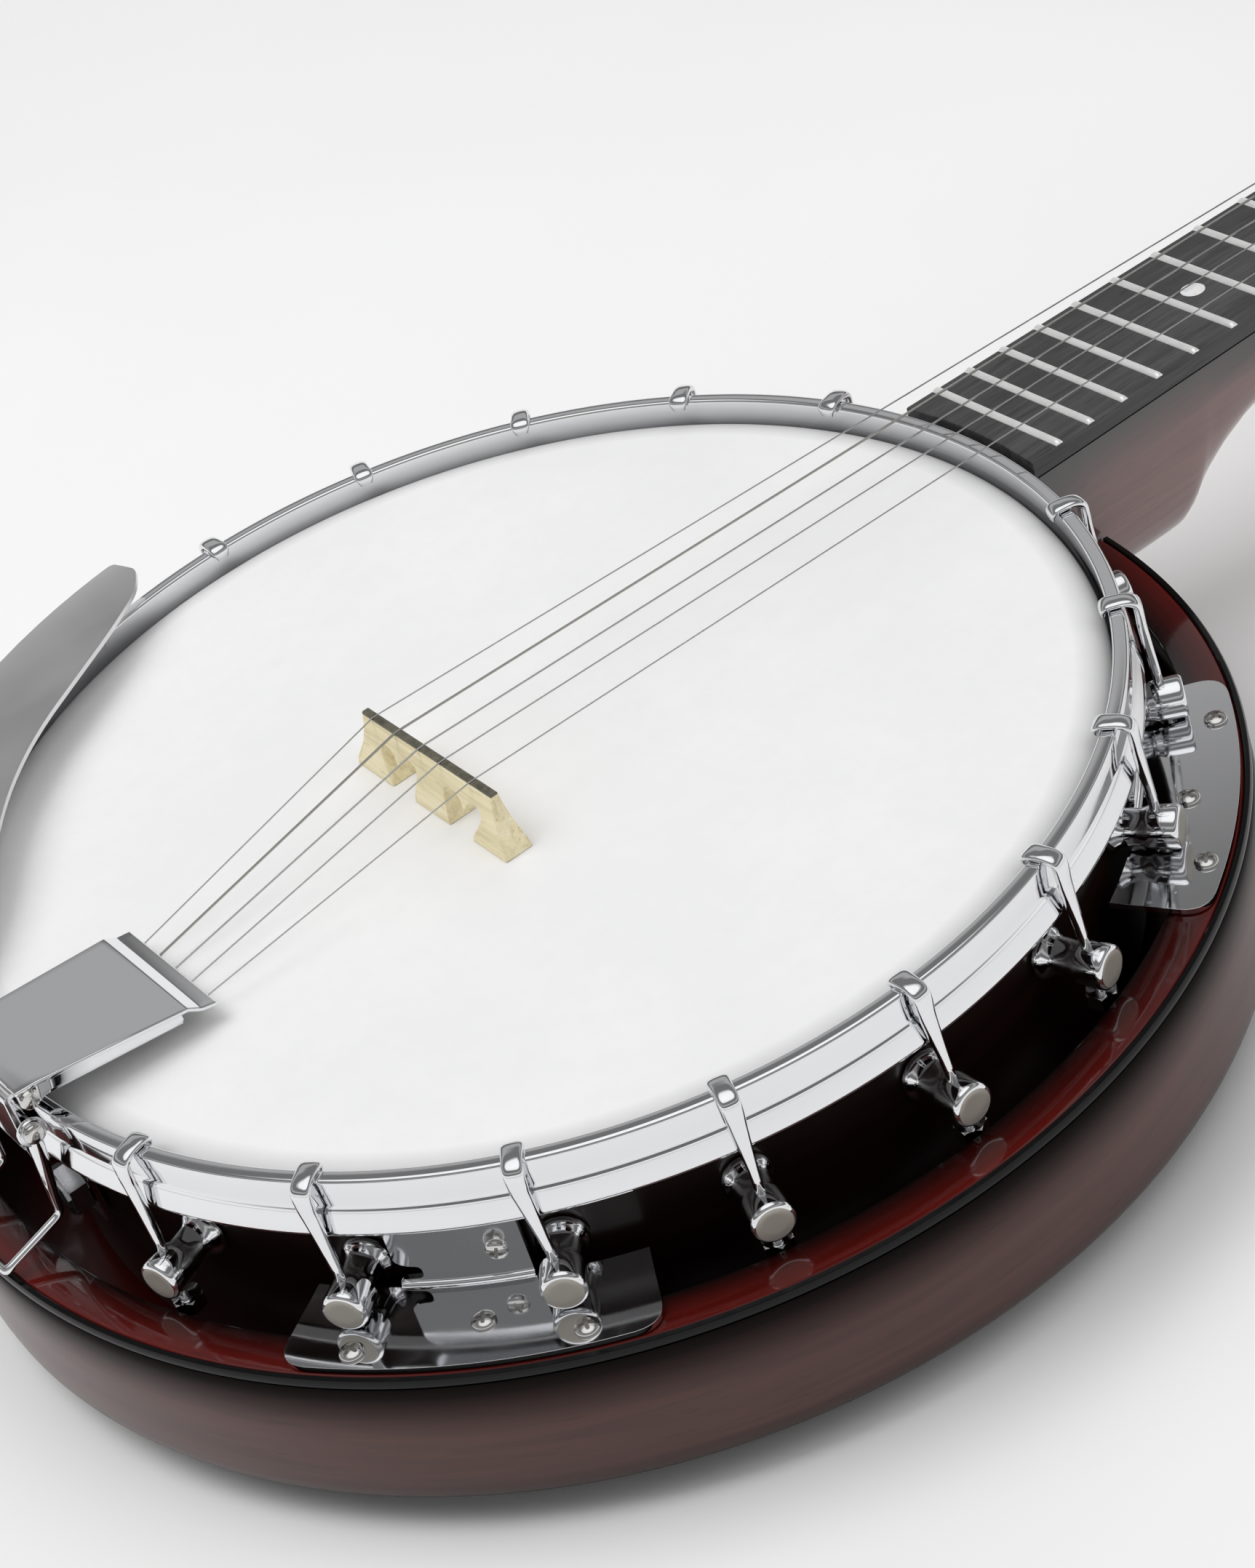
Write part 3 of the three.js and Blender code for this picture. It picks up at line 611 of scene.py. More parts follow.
def frosted_head():
    s = Surface("frosted_head")
    place = s.coords()
    fine = s.noise(place, scale=2600, roughness=0.6)
    broad = s.noise(place, scale=14, detail=4, roughness=0.55)
    mottle = s.noise(place, scale=130, detail=4, roughness=0.6)
    x, y, _ = s.separate(place)
    square = s.math('ADD', s.math('MULTIPLY', x, x), s.math('MULTIPLY', y, y))
    radius = s.math('POWER', square, 0.5)
    color = s.mix(s.remap(broad, to=(0, 1), span=(0.35, 0.65)),
                  (0.835, 0.835, 0.838), (0.872, 0.872, 0.870))
    color = s.mix(s.remap(mottle, to=(0, 0.35), span=(0.35, 0.7)), color, (0.80, 0.80, 0.805))
    # painted shade and reflection: the head greys over the crown towards the hoop
    color = s.mix(s.remap(radius, to=(0.0, 0.55), span=(0.1340, 0.1415)), color,
                  (0.30, 0.30, 0.305))
    dents = s.bump(mottle, strength=0.05, distance=0.0002)
    s.set(base_color=color, roughness=s.remap(mottle, to=(0.42, 0.55)), specular_ior_level=0.35,
          subsurface_weight=0.06, subsurface_radius=(0.002, 0.002, 0.002),
          normal=s.bump(fine, strength=0.12, distance=0.00006, normal=dents))
    return s.material


def fingerboard_wood():
    s = Surface("fingerboard_wood")
    grain = s.noise(s.coords((14, 260, 260)), scale=1.7, detail=6, roughness=0.65, distortion=0.5)
    broad = s.noise(s.coords((5, 30, 30)), scale=1.3)
    pores = s.noise(s.coords((70, 1500, 1500)), scale=1.0, detail=2, roughness=0.7)
    color = s.ramp(s.weigh(grain, 0.7, broad), [
        (0.3, (0.024, 0.024, 0.025)), (0.5, (0.048, 0.048, 0.050)), (0.72, (0.090, 0.090, 0.094))])
    color = s.mix(s.remap(pores, to=(0.0, 0.7), span=(0.58, 0.70)), color, (0.008, 0.008, 0.009))
    s.set(base_color=color, roughness=s.remap(grain, to=(0.42, 0.60)),
          normal=s.bump(pores, strength=0.25, distance=0.0002))
    return s.material


def bridge_maple():
    s = Surface("bridge_maple")
    grain = s.noise(s.coords((240, 12, 240)), scale=1.6, detail=6, roughness=0.6, distortion=0.8)
    speck = s.noise(s.coords((900, 120, 900)), scale=1.0, detail=2, roughness=0.7)
    color = s.ramp(grain, [(0.28, (0.6696, 0.5616, 0.324)), (0.5, (0.864, 0.7668, 0.4968)),
                           (0.72, (0.9504, 0.8748, 0.6264))])
    color = s.mix(s.remap(speck, to=(0, 0.5), span=(0.6, 0.75)), color, (0.4536, 0.324, 0.1512))
    s.set(base_color=color, roughness=s.remap(grain, to=(0.42, 0.55)),
          normal=s.bump(grain, strength=0.15, distance=0.0002))
    return s.material


def clouded(name, colors, rough, scale, coat=0.0, subsurface=0.0):
    """A soft two-tone material; colors and rough are pairs of extremes."""
    s = Surface(name)
    cloud = s.noise(s.coords(), scale=scale, detail=5, roughness=0.6, distortion=0.4)
    s.set(base_color=s.mix(s.remap(cloud, to=(0, 1)), *colors), roughness=s.remap(cloud, to=rough),
          coat_weight=coat, normal=s.bump(cloud, strength=0.06, distance=0.0001))
    if subsurface:
        s.set(subsurface_weight=subsurface, subsurface_radius=(0.002, 0.0015, 0.001))
    return s.material


def pearl_dot():
    s = Surface("pearl_dot")
    place = s.coords()
    cells = s.texture("Voronoi", place, scale=420).outputs["Distance"]
    cloud = s.noise(place, scale=240, detail=4, roughness=0.6, distortion=1.2)
    color = s.ramp(cloud, [
        (0.3, (0.62, 0.66, 0.70)), (0.5, (0.84, 0.84, 0.82)), (0.7, (0.80, 0.74, 0.78))])
    glint = s.remap(cells, to=(0.3, 0), span=(0, 0.6))
    s.set(base_color=s.mix(glint, color, (0.95, 0.95, 0.94)), roughness=0.22, coat_weight=0.5,
          normal=s.bump(cloud, strength=0.05, distance=0.0001))
    return s.material


def wound_string():
    s = Surface("wound_string")
    wave = s.texture("Wave", s.coords(), scale=1400, distortion=0.4)
    wave.wave_type = 'BANDS'
    wave.bands_direction = 'X'
    turns = wave.outputs["Fac"]
    # painted shade: the colour darkens in the grooves between the turns of the winding
    s.set(base_color=s.mix(turns, (0.34, 0.33, 0.31), (0.66, 0.65, 0.62)), metallic=1.0,
          roughness=0.35, normal=s.bump(turns, strength=0.4, distance=0.0001))
    return s.material


CHROME = metal("chrome", (0.84, 0.845, 0.86), rough=0.045, tint=0.03, scratch=0.015)
CHROME_SOFT = metal("chrome_soft", (0.80, 0.805, 0.82), rough=0.11)
SATIN = metal("armrest_satin", (0.80, 0.80, 0.805), rough=0.34)
SCREW = metal("screw_nickel", (0.72, 0.71, 0.69), rough=0.14, tint=0.10, scratch=0.05)
SHOE_FACE = metal("shoe_face", (0.50, 0.47, 0.42), rough=0.35, tint=0.08, scratch=0.05,
                  metallic=0.6)
STEEL = metal("turned_steel", (0.58, 0.585, 0.60), rough=0.26, tint=0.12, scratch=0.10,
              brushed=(8, 300, 300))
BRASS = metal("cast_brass", (0.62, 0.47, 0.22), rough=0.34, tint=0.20, scratch=0.20)
FRET_METAL = metal("fret_nickel", (0.95, 0.95, 0.94), rough=0.30, scratch=0.04, metallic=0.5)
PLAIN_STRING = metal("plain_string", (0.62, 0.62, 0.62), rough=0.22, tint=0.15, scratch=0.05)
WOUND_STRING = wound_string()
WALL_WOOD = lacquer("mahogany_wall", dark=(0.0035, 0.0030, 0.0028), fade_gloss=True, tones=[
    (0.28, (0.036, 0.0150, 0.0125)), (0.48, (0.062, 0.0235, 0.0190)),
    (0.68, (0.090, 0.032, 0.0260)), (0.85, (0.115, 0.043, 0.033))])
# Its dark colour is the painted shade deep inside the shell.
INSIDE_WOOD = lacquer("mahogany_inside", dark=(0.004, 0.0012, 0.0010), coat=0.4, tones=[
    (0.30, (0.040, 0.0022, 0.0012)), (0.50, (0.110, 0.0065, 0.0035)),
    (0.70, (0.185, 0.014, 0.007))])
RIM_WOOD = lacquer("rim_wood", dark=(0.002, 0.001, 0.001), coat=0.3, tones=[
    (0.30, (0.0035, 0.0012, 0.0010)), (0.55, (0.010, 0.0028, 0.0020)),
    (0.75, (0.022, 0.0055, 0.0035))])
NECK_WOOD = lacquer("mahogany_neck", dark=(0.010, 0.0115, 0.0105), round_grain=False, tones=[
    (0.28, (0.110, 0.048, 0.042)), (0.48, (0.160, 0.074, 0.066)),
    (0.68, (0.215, 0.100, 0.090)), (0.85, (0.26, 0.125, 0.11))])
# Its dark colour is the painted shade under the ledge's lip.
LEDGE_WOOD = lacquer("mahogany_ledge", dark=(0.004, 0.0012, 0.0010), coat_ior=1.62, specular=0.1,
                     tones=[(0.28, (0.038, 0.0018, 0.0012)), (0.50, (0.088, 0.0042, 0.0026)),
                            (0.75, (0.150, 0.0080, 0.0045))])
BLACK = black_gloss("black_gloss", (0.006, 0.006, 0.0065), rough=0.18, shine=0.6)
BINDING = black_gloss("binding_black", (0.0022, 0.0022, 0.0024), rough=0.14, shine=0.08)
HEAD = frosted_head()
BOARD = fingerboard_wood()
MAPLE = bridge_maple()
EBONY = clouded("bridge_ebony", [(0.055, 0.050, 0.036), (0.15, 0.138, 0.10)], rough=(0.35, 0.5),
                scale=500)
BONE = clouded("nut_bone", [(0.72, 0.67, 0.53), (0.84, 0.80, 0.69)], rough=(0.3, 0.42), scale=260,
               coat=0.2, subsurface=0.05)
PEARL = pearl_dot()


# ---------------------------------------------------------------- neck section
# x along the neck, z of its underside
NECK_UNDERSIDE = [
    (140, HEEL_Z), (198, HEEL_Z), (203.4, -60.1), (206.6, -58.0), (208.9, -54.4), (212, -49.9),
    (217.5, -44.2), (225, -38.9), (236, -33.9), (250, -30.2), (272, -27.3), (330, -25.8),
    (458, -24.4), (500, -23.8), (600, -22.6), (628, -22.4), (646, -23.6)]
NECK_TOP = -BOARD_T - 0.3


def underside(x):
    return float(np.interp(x, *zip(*NECK_UNDERSIDE)))


def neck_ring(x, steps=28, grow=0.0):
    """The neck's section at x, from its +Y edge round underneath to the -Y edge."""
    depth = NECK_TOP - underside(x) + grow
    heel = min(1, max(0, (-underside(x) - 30) / 24))
    ring = []
    for k in range(steps + 1):
        cos, sin = math.cos(math.pi * k / steps), math.sin(math.pi * k / steps)
        half = (half_plus_y(x) if cos >= 0 else half_minus_y(x)) - 0.2 + grow
        deep = sin ** 0.85 if sin > 1e-9 else 0.0
        narrow = 1 - heel * 0.3 * deep ** 1.6
        ring.append((x, signed_power(cos, 0.75) * half * narrow, NECK_TOP - depth * deep))
    return ring


# ---------------------------------------------------------------- resonator
# The heel's section where it crosses the resonator wall, in order of rising y
HEEL_SECTION = transformed(neck_ring(169, steps=60, grow=0.5), NECK_PLACE)[::-1]


def notch_z(y):
    """Height of the wall's top across the heel notch."""
    if abs(y) >= NOTCH_HALF:
        return LEDGE_TOP + 1
    z = float(np.interp(y, HEEL_SECTION[:, 1], HEEL_SECTION[:, 2]))
    return min(z, LEDGE_TOP + 1) if abs(y) < 18.6 else min(z, 40.5)


def notch_angles():
    """Angles round the wall, dense at the notch."""
    edge, gap = NOTCH_HALF, 1e-4
    stations = [-edge - gap, -edge + gap, *np.linspace(-edge + 0.1, edge - 0.1, 49),
                edge - gap, edge + gap]
    dense = [math.asin(y / WALL_R) for y in stations]
    first, last = dense[0] % (2 * math.pi), dense[-1]
    return dense + [last + (first - last) * k / 240 for k in range(1, 240)]


def notched_wall(profile):
    """A turned wall whose top dips where the heel sits."""
    points, rows = [], []
    all_angles = notch_angles()
    for r, height in profile:
        angles = all_angles if r > 1e-6 else [0.0]
        rows.append(list(range(len(points), len(points) + len(angles))))
        for a in angles:
            x, y, z = r * math.cos(a), r * math.sin(a), height
            if r > 150 and x > 0 and abs(y) < (NOTCH_HALF + 0.01) * r / WALL_R:
                z = min(z, notch_z(y * WALL_R / r))
            points.append((x, y, z))
    return points, skin(rows)


# Sunburst on the outside wall and back; painted shade on the inside face.
def wall_burst_and_shade(x, y, z):
    r = math.hypot(x, y)
    if r < 165.7 and z > 4.4 and z > 3 + 9 * (r / 165) ** 3:      # inside face: painted shade, darker lower down in the shell
        return 0.35 + 0.65 * ease((z - 6) / 30)
    if r > 165.7 and z > 8.8:                                     # outside wall
        t = (z - 9.5) / 37
        return 0.02 + 0.98 * ease(min((t + 0.06) / 0.30, (0.98 - t) / 0.46))
    return 1 - 0.94 * ease((r - 96) / 64)                         # back


def is_inside(x, y, z):
    """Whether a face centred here shows the inside colour."""
    r = math.hypot(x, y)
    return (r < 167.9 and z > 4.4 and not (r < 166 and z < 9 * (r / 170) ** 2)
            and (r < 165.9 or z > 46.24))


def resonator_shell():
    # (radius, z): the back, the wall, the top edge and the inside
    back = [(0, 0), (30, 0), (59, 0), *spline(
        [(64, 0.04), (100, 1.4), (135, 4.2), (158, 7.4), (165.4, 8.9)], 6)]
    wall = [(167.6, 9.7), (169.2, 10.9), (170.1, 12.6), (170.45, 15)]
    wall += [(170.6 - 0.75 * ((z - 18) / 28) ** 1.5, z) for z in np.linspace(18, 46, 11)]
    top_edge = [(169.72, 46.2), (165.75, 46.25)]
    inside = [(165.6, 46), (165.6, 42), (165.6, 36), (165.6, 28), (165.4, 20), (163.8, 16),
              (160.5, 13.2), (150, 10.9), (135, 8.8), (100, 6), (60, 4.6), (30, 4.6), (0, 4.6)]
    mesh = new_mesh(notched_wall(back + wall + top_edge + inside), angle=40)
    mesh.materials.append(WALL_WOOD)
    mesh.materials.append(INSIDE_WOOD)
    for face in mesh.polygons:
        if is_inside(*(face.center / MM)):
            face.material_index = 1
    add_wood_data(mesh, wall_burst_and_shade)
    put("resonator_shell", mesh, WALL_WOOD, replaces="resonator")


def open_ring(profile, steps=300):
    """A turned ring of (radius, z) that stops either side of the heel."""
    start = math.asin((NOTCH_HALF + 0.1) / 169.0)
    angles = [start + (2 * math.pi - 2 * start) * k / steps for k in range(steps + 1)]
    return loft([[(r * math.cos(a), r * math.sin(a), z) for r, z in profile] for a in angles])


# Painted shade: the ledge darkens towards its inner edge and lower down, under its lip.
def ledge_painted_shade(x, y, z):
    return ease((math.hypot(x, y) - LEDGE_IN) / 8.5) * (0.25 + 0.75 * ease((z - 42) / 6))


def resonator_edge():
    ledge = [(168.0, 46.35), (168.0, 48.2), (167.6, LEDGE_TOP), (158.2, LEDGE_TOP),
             (157.75, 48.45), (LEDGE_IN, 48.0), (LEDGE_IN, 43.2), (158.2, 42.6), (165.5, 42.6),
             (165.5, 46.35)]
    mesh = new_mesh(open_ring(ledge), angle=40)
    add_wood_data(mesh, ledge_painted_shade)
    put("resonator_ledge", mesh, LEDGE_WOOD)
    binding = [(168.15, 46.45), (169.55, 46.45), (169.95, 46.9), (169.95, 48.1), (169.55, 48.75),
               (168.5, 48.85), (168.15, 48.6)]
    put("resonator_binding_top", new_mesh(open_ring(binding)), BINDING,
        replaces="resonator_binding")


resonator_shell()
resonator_edge()


# ---------------------------------------------------------------- rim, head and hoop
def rim():
    mesh = new_mesh(revolve([
        (RIM_IN, RIM_LOW + 1), (RIM_IN + 1, RIM_LOW), (RIM_OUT - 1, RIM_LOW),
        (RIM_OUT, RIM_LOW + 1), (RIM_OUT, 26), (RIM_OUT, 40), (RIM_OUT, 55),
        (RIM_OUT, RIM_HIGH - 0.5), (RIM_OUT - 0.5, RIM_HIGH), (RIM_IN + 0.5, RIM_HIGH),
        (RIM_IN, RIM_HIGH - 0.5), (RIM_IN, 45)], 224), angle=40)
    add_wood_data(mesh, lambda x, y, z: 0.9)
    put("rim_ring", mesh, RIM_WOOD, replaces="rim")


rim()
for node_name, material in (("tone_ring", BRASS), ("coordinator_rod", STEEL)):
    node_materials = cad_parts[node_name].data.materials
    node_materials.clear()
    node_materials.append(material)

# (radius, z): over the crown, down the collar and back under the film
HEAD_PROFILE = [
    (0, HEAD_TOP), (60, HEAD_TOP), (110, HEAD_TOP), (128, HEAD_TOP), (134.2, 81.48),
    (136.4, 81.4), (138.2, 81.1), (139.5, 80.85), (141, 80.15), (142.1, 79.3), (142.65, 78.3),
    (142.3, 77.4), (141.2, 76.5), (140.9, 75.4), (140.9, 74.05), (143.1, 74), (143.2, 72.4),
    (143.1, 70.8), (140.1, 70.8), (140.1, 77.2), (141.4, 78.3), (140.9, 79.0), (139.6, 79.9),
    (138, 80.5), (136.2, 80.8), (110, 80.82), (60, 80.82), (0, 80.82)]
put("drum_head", new_mesh(revolve(HEAD_PROFILE, 256), angle=60), HEAD,
    replaces="head")

# (radius, z) round the hoop's section
HOOP_PROFILE = [
    (143.5, 85.2), (143.75, 85.75), (144.3, HOOP_TOP), (146.4, HOOP_TOP), (147.1, 85.75),
    (147.4, 85.1), (147.4, 82.0), (147.35, 79.0), (147.38, 78.3), (147.55, 77.9), (147.85, 77.55),
    (148.1, 76.9), (148.6, 74.8), (149.1, 72.6), (149.1, 71.7), (148.8, 71.25), (147.8, 71.2),
    (143.65, 71.2), (143.6, 74.4), (141.4, 74.4), (141.4, 75.6), (143.3, 77.4), (143.45, 80)]
put("tension_hoop_band", weighted(new_mesh(revolve(HOOP_PROFILE, 288), angle=50)), CHROME,
    replaces="tension_hoop")

# ---------------------------------------------------------------- brackets
# Down the hook: radius from the pot's axis, z, width, thickness
HOOK_STATIONS = np.array([
    (142.25, 84.3, 3.4, 1.2), (142.2, 85.4, 4.3, 1.5), (142.45, 86.2, 5.1, 1.8),
    (143.5, 86.8, 5.3, 1.8), (145.6, 86.95, 5.0, 1.8), (147.8, 86.85, 4.8, 1.9),
    (149.5, 86.25, 4.8, 2.2), (150.4, 85.2, 4.7, 2.3), (150.6, 82.5, 4.5, 2.3),
    (150.6, 79.0, 4.0, 2.35), (150.8, 75, 3.4, 2.4), (151.05, 71, 2.9, 2.4),
    (151.3, 67.5, 2.5, 2.4), (151.5, 64.5, 2.4, 2.4)])
# (radius, distance from the pot's axis) along the shoe
SHOE_PROFILE = [
    (0, 139.95), (5.7, 139.95), (6.05, 140.3), (6.05, 141.3), (5.5, 142.1), (4.8, 142.9),
    (4.45, 144.2), (4.4, 147.2), (4.6, 148.6), (4.95, 149.3), (5.15, 150.2), (5.3, 155.9),
    (5.2, 156.5), (4.85, 157.0), (4.3, 157.2), (2.4, 157.05), (0, 156.95)]


def hook_part():
    """The flattened hook with its threaded rod, at angle 0."""
    path = np.insert(spline(HOOK_STATIONS[:, :2], 4), 1, 0, axis=1)
    side = np.array((0.0, 1.0, 0.0))
    rings = []
    for i, (centre, tangent) in enumerate(zip(path, directions(path))):
        width, thickness = [np.interp(i / 4, range(len(HOOK_STATIONS)), HOOK_STATIONS[:, column])
                            for column in (2, 3)]
        normal = np.cross(side, tangent)
        rings.append([centre + normal * (thickness / 2) * signed_power(math.sin(a), 0.72)
                      + side * (width / 2) * signed_power(math.cos(a), 0.72)
                      for a in full_turn(24)])
    thread_z = np.arange(50.4, 43.5, -0.2)
    radii = [1.18] + [1.24 if i % 2 == 0 else 1.02 for i in range(len(thread_z))]
    rod = tube([(rod_r(z), 0, z) for z in (65, *thread_z)], radii, 14)
    return merge(loft(rings), rod)


def hook_mesh(turn):
    """A hook whose rod leans sideways to a shoe that sits round from it."""
    points, faces = hook_part()
    points[:, 1] += rad(turn) * points[:, 0] * np.clip((80 - points[:, 2]) / 24.0, 0, 1)
    return new_mesh((points, faces), angle=60)


def shoe_mesh():
    mesh = new_mesh(shift(revolve(SHOE_PROFILE, 40, axis='X'), (0, 0, SHOE_Z)), angle=38)
    mesh.materials.append(CHROME)
    mesh.materials.append(SHOE_FACE)
    for face in mesh.polygons:
        x, y, z = face.center
        if x > 156.9 * MM and math.hypot(y, z - SHOE_Z * MM) < 4.4 * MM:
            face.material_index = 1
    return mesh


def hook_nut_mesh():
    """A hexagon nut with its corners turned off."""
    centre = (rod_r(46.7), 0, 0)
    corners = revolve([(0, 44.2), (3.2, 44.2), (4.0, 45.2), (4.0, 47.9), (3.3, 48.6), (0, 48.6)],
                      48)
    return boolean(new_mesh(shift(prism(hexagon(6.8), 44.9, 48.4), centre)),
                   new_mesh(shift(corners, centre)), 'INTERSECT', angle=30)


def shoe_bolt_mesh():
    bolt_head = revolve([(0, 127.3), (5.6, 127.3), (5.6, 126.6), (4.7, 126.4), (4.7, 123.9),
                         (4.3, 123.5), (0, 123.5)], 6, axis='X')
    shank = revolve([(0, 140.2), (2.4, 140.2), (2.4, 127.0), (0, 127.0)], 20, axis='X')
    return new_mesh(shift(merge(bolt_head, shank), (0, 0, SHOE_Z)), angle=30)


def brackets():
    hooks = {turn: hook_mesh(turn) for turn in {0, *SHOE_TURN.values()}}
    shoe, nut, bolt = shoe_mesh(), hook_nut_mesh(), shoe_bolt_mesh()
    for number, angle in enumerate(BRACKET_ANGLES, 1):
        turn = SHOE_TURN.get(angle, 0)
        at_shoe = spin(rad(angle + turn))
        put(f"hook_{number:02d}", hooks[turn], CHROME, place=spin(rad(angle)),
            replaces=f"bracket_{number:02d}")
        put(f"shoe_{number:02d}", shoe, CHROME, place=at_shoe)
        put(f"hook_nut_{number:02d}", nut, CHROME, place=spin(rad(angle + turn * 1.35)))
        put(f"shoe_bolt_{number:02d}", bolt, SCREW, place=at_shoe)


brackets()


# ---------------------------------------------------------------- screws
def pan_screw(radius, height):
    """A domed screw head with a cross recess, seated at z = 0."""
    dome = [(radius * math.cos(t), 0.3 + (height - 0.3) * math.sin(t))
            for t in np.linspace(0.15, math.pi / 2, 7)[:-1]]
    profile = [(0, -0.4), (radius * 0.55, -0.4), (radius * 0.98, -0.1), (radius, 0.25)]
    mesh = new_mesh(revolve(profile + dome + [(0, height)], 36), angle=50)
    length, width = radius * 1.25, radius * 0.32
    for w, h in ((length, width), (width, length)):
        recess = rounded(rectangle(-w / 2, w / 2, -h / 2, h / 2), width * 0.45, 3)
        mesh = boolean(mesh, new_mesh(prism(recess, height * 0.42, height + 1)), angle=40)
    return mesh


PLATE_SCREW = pan_screw(2.9, 1.5)
TAB_SCREW = pan_screw(2.6, 1.4)
SMALL_SCREW = pan_screw(1.9, 1.0)


# ---------------------------------------------------------------- flange plates and tabs
def plate_outline(steps=28):
    """A ring sector with its two outer corners rounded."""
    half = rad(PLATE_HALF_ANGLE)
    inset = PLATE_CORNER / PLATE_OUT
    outer = [(PLATE_OUT * math.cos(a), PLATE_OUT * math.sin(a))
             for a in np.linspace(-half + inset, half - inset, steps)]
    edge = np.array([math.cos(half), math.sin(half)])
    fillet = [corner_curve(np.array(outer[-1]), PLATE_OUT * edge,
                           (PLATE_OUT - PLATE_CORNER) * edge, t)
              for t in np.linspace(0, 1, 8)[1:]]
    inner = [(PLATE_IN * math.cos(a), PLATE_IN * math.sin(a))
             for a in np.linspace(half, -half, steps)]
    return outer + fillet + inner + [(x, -y) for x, y in fillet[::-1]]


def plate_mesh(plate_angle):
    """A plate with a hole for each hook rod that passes through it."""
    mesh = new_mesh(prism(plate_outline(), PLATE_Z, PLATE_Z + PLATE_T))
    low, high = PLATE_Z - 3, PLATE_Z + 5
    hole = shift(revolve([(0, low), (2.7, low), (2.7, high), (0, high)], 32), (rod_r(49.7), 0, 0))
    for bracket in BRACKET_ANGLES:
        if abs(bracket - plate_angle) < 14:
            turn = bracket - plate_angle + SHOE_TURN.get(bracket, 0) * 1.25
            mesh = boolean(mesh, new_mesh(placed(hole, spin(rad(turn)))))
    return bevelled(mesh, 0.4, segments=3, limit=40)


def tab_mesh():
    """An upright tab with an open slot at one side, cut flat and then bent up and round."""
    half, thick = TAB_WIDTH / 2, PLATE_T
    bend_length = (TAB_BEND + thick / 2) * math.pi / 2
    bend_z = PLATE_Z + thick + TAB_BEND
    bend_r = TAB_FACE + TAB_BEND
    top, slot_high, slot_low = [z - bend_z + bend_length for z in (69.6, 57.4, 52.2)]
    outline = rounded(
        [(-half, -1.2), (half, -1.2), (half, top - 2), (half - 2, top), (-half + 2, top),
         (-half, top - 2), (-half, slot_high), (-half + 2.6, slot_high - 1.2),
         (-half + 5.8, slot_high - 1.4), (-half + 5.8, slot_low + 0.4), (-half, slot_low)],
        [0.1, 0.1, 1.5, 1.5, 1.5, 1.5, 1.6, 1.6, 2.2, 2.2, 0.6], 5)
    bm = bmesh.new()
    bm.from_mesh(new_mesh(prism(outline, 0, thick)))
    cuts = [((x * MM, 0, 0), (1, 0, 0)) for x in np.linspace(-half, half, 18)[1:-1]]
    cuts += [((0, y * MM, 0), (0, 1, 0)) for y in np.linspace(0, bend_length, 9)]
    for point, normal in cuts:
        bmesh.ops.bisect_plane(bm, geom=bm.verts[:] + bm.edges[:] + bm.faces[:],
                               plane_co=point, plane_no=normal)
    for vertex in bm.verts:
        x, y, depth = (c / MM for c in vertex.co)
        if y <= 0:
            r, z = bend_r - y, PLATE_Z + depth
        else:
            phase = min(y, bend_length) / (TAB_BEND + thick / 2)
            reach = TAB_BEND + thick - depth
            r = bend_r - reach * math.sin(phase)
            z = bend_z - reach * math.cos(phase) + max(0, y - bend_length)
        a = x / TAB_R
        vertex.co = Vector((r * math.cos(a), r * math.sin(a), z)) * MM
    bmesh.ops.recalc_face_normals(bm, faces=bm.faces)
    bent = bpy.data.meshes.new("piece")
    bm.to_mesh(bent)
    bm.free()
    return bevelled(bent, 0.25)


def flange():
    tab = tab_mesh()
    for i, (angle, tab_angle) in enumerate(zip(PLATE_ANGLES, TAB_ANGLES)):
        number = i + 1
        put(f"flange_plate_sheet_{number}", plate_mesh(angle), CHROME,
            replaces=f"flange_plate_{number}", place=spin(rad(angle)))
        put(f"flange_tab_{number}", tab, CHROME, place=spin(rad(tab_angle)))
        # angle from the plate's middle, radius, turn of the recess
        screws = ((-9.2, 163, 0.6 * i), (9.2, 163, 0.6 * (i + 1)),
                  (1 if i % 2 == 0 else -1, 155.8, 0.3 + 0.7 * i))
        for j, (offset, radius, turn) in enumerate(screws, 1):
            seat = at(radius, 0, PLATE_Z + PLATE_T + 0.05)
            put(f"plate_screw_{number}_{j}", PLATE_SCREW, SCREW,
                place=spin(rad(angle + offset)) @ seat @ spin(turn))
        put(f"tab_screw_{number}", TAB_SCREW, SCREW,
            place=spin(rad(tab_angle + 3.5)) @ at(TAB_FACE + 0.02, 0, 59) @ spin(math.pi / 2, 'Y')
            @ spin(0.5 + 0.4 * i))


flange()

# ---------------------------------------------------------------- neck and peghead
NECK_STATIONS = [
    136, 142, 148, 156, 165, 175, 185, 193, 198, 201, 203.2, 204.8, 206.3, 207.5, 208.6, 210, 212,
    214.5, 217.5, 221, 225, 230, 236, 243, 250, 260, 272, 290, 310, 330, 370, 410, 440, 458, 463,
    469, 475, 480, 500, 540, 580, 610, 628, 638, 646]
# (distance along the peghead, half width)
PEG_HALF = [(0, 16.6), (8, 17.4), (16, 22), (24, 30.5), (33, 35.5), (44, 37), (58, 35.4),
            (76, 32.2), (92, 32), (108, 34.4), (122, 36), (134, 33), (140, 27), (146, 24.5),
            (150, 14), (PEG_LEN, 6)]
PEG_CURVE = spline(PEG_HALF, 5)
TO_NECK = NECK_PLACE.inverted()


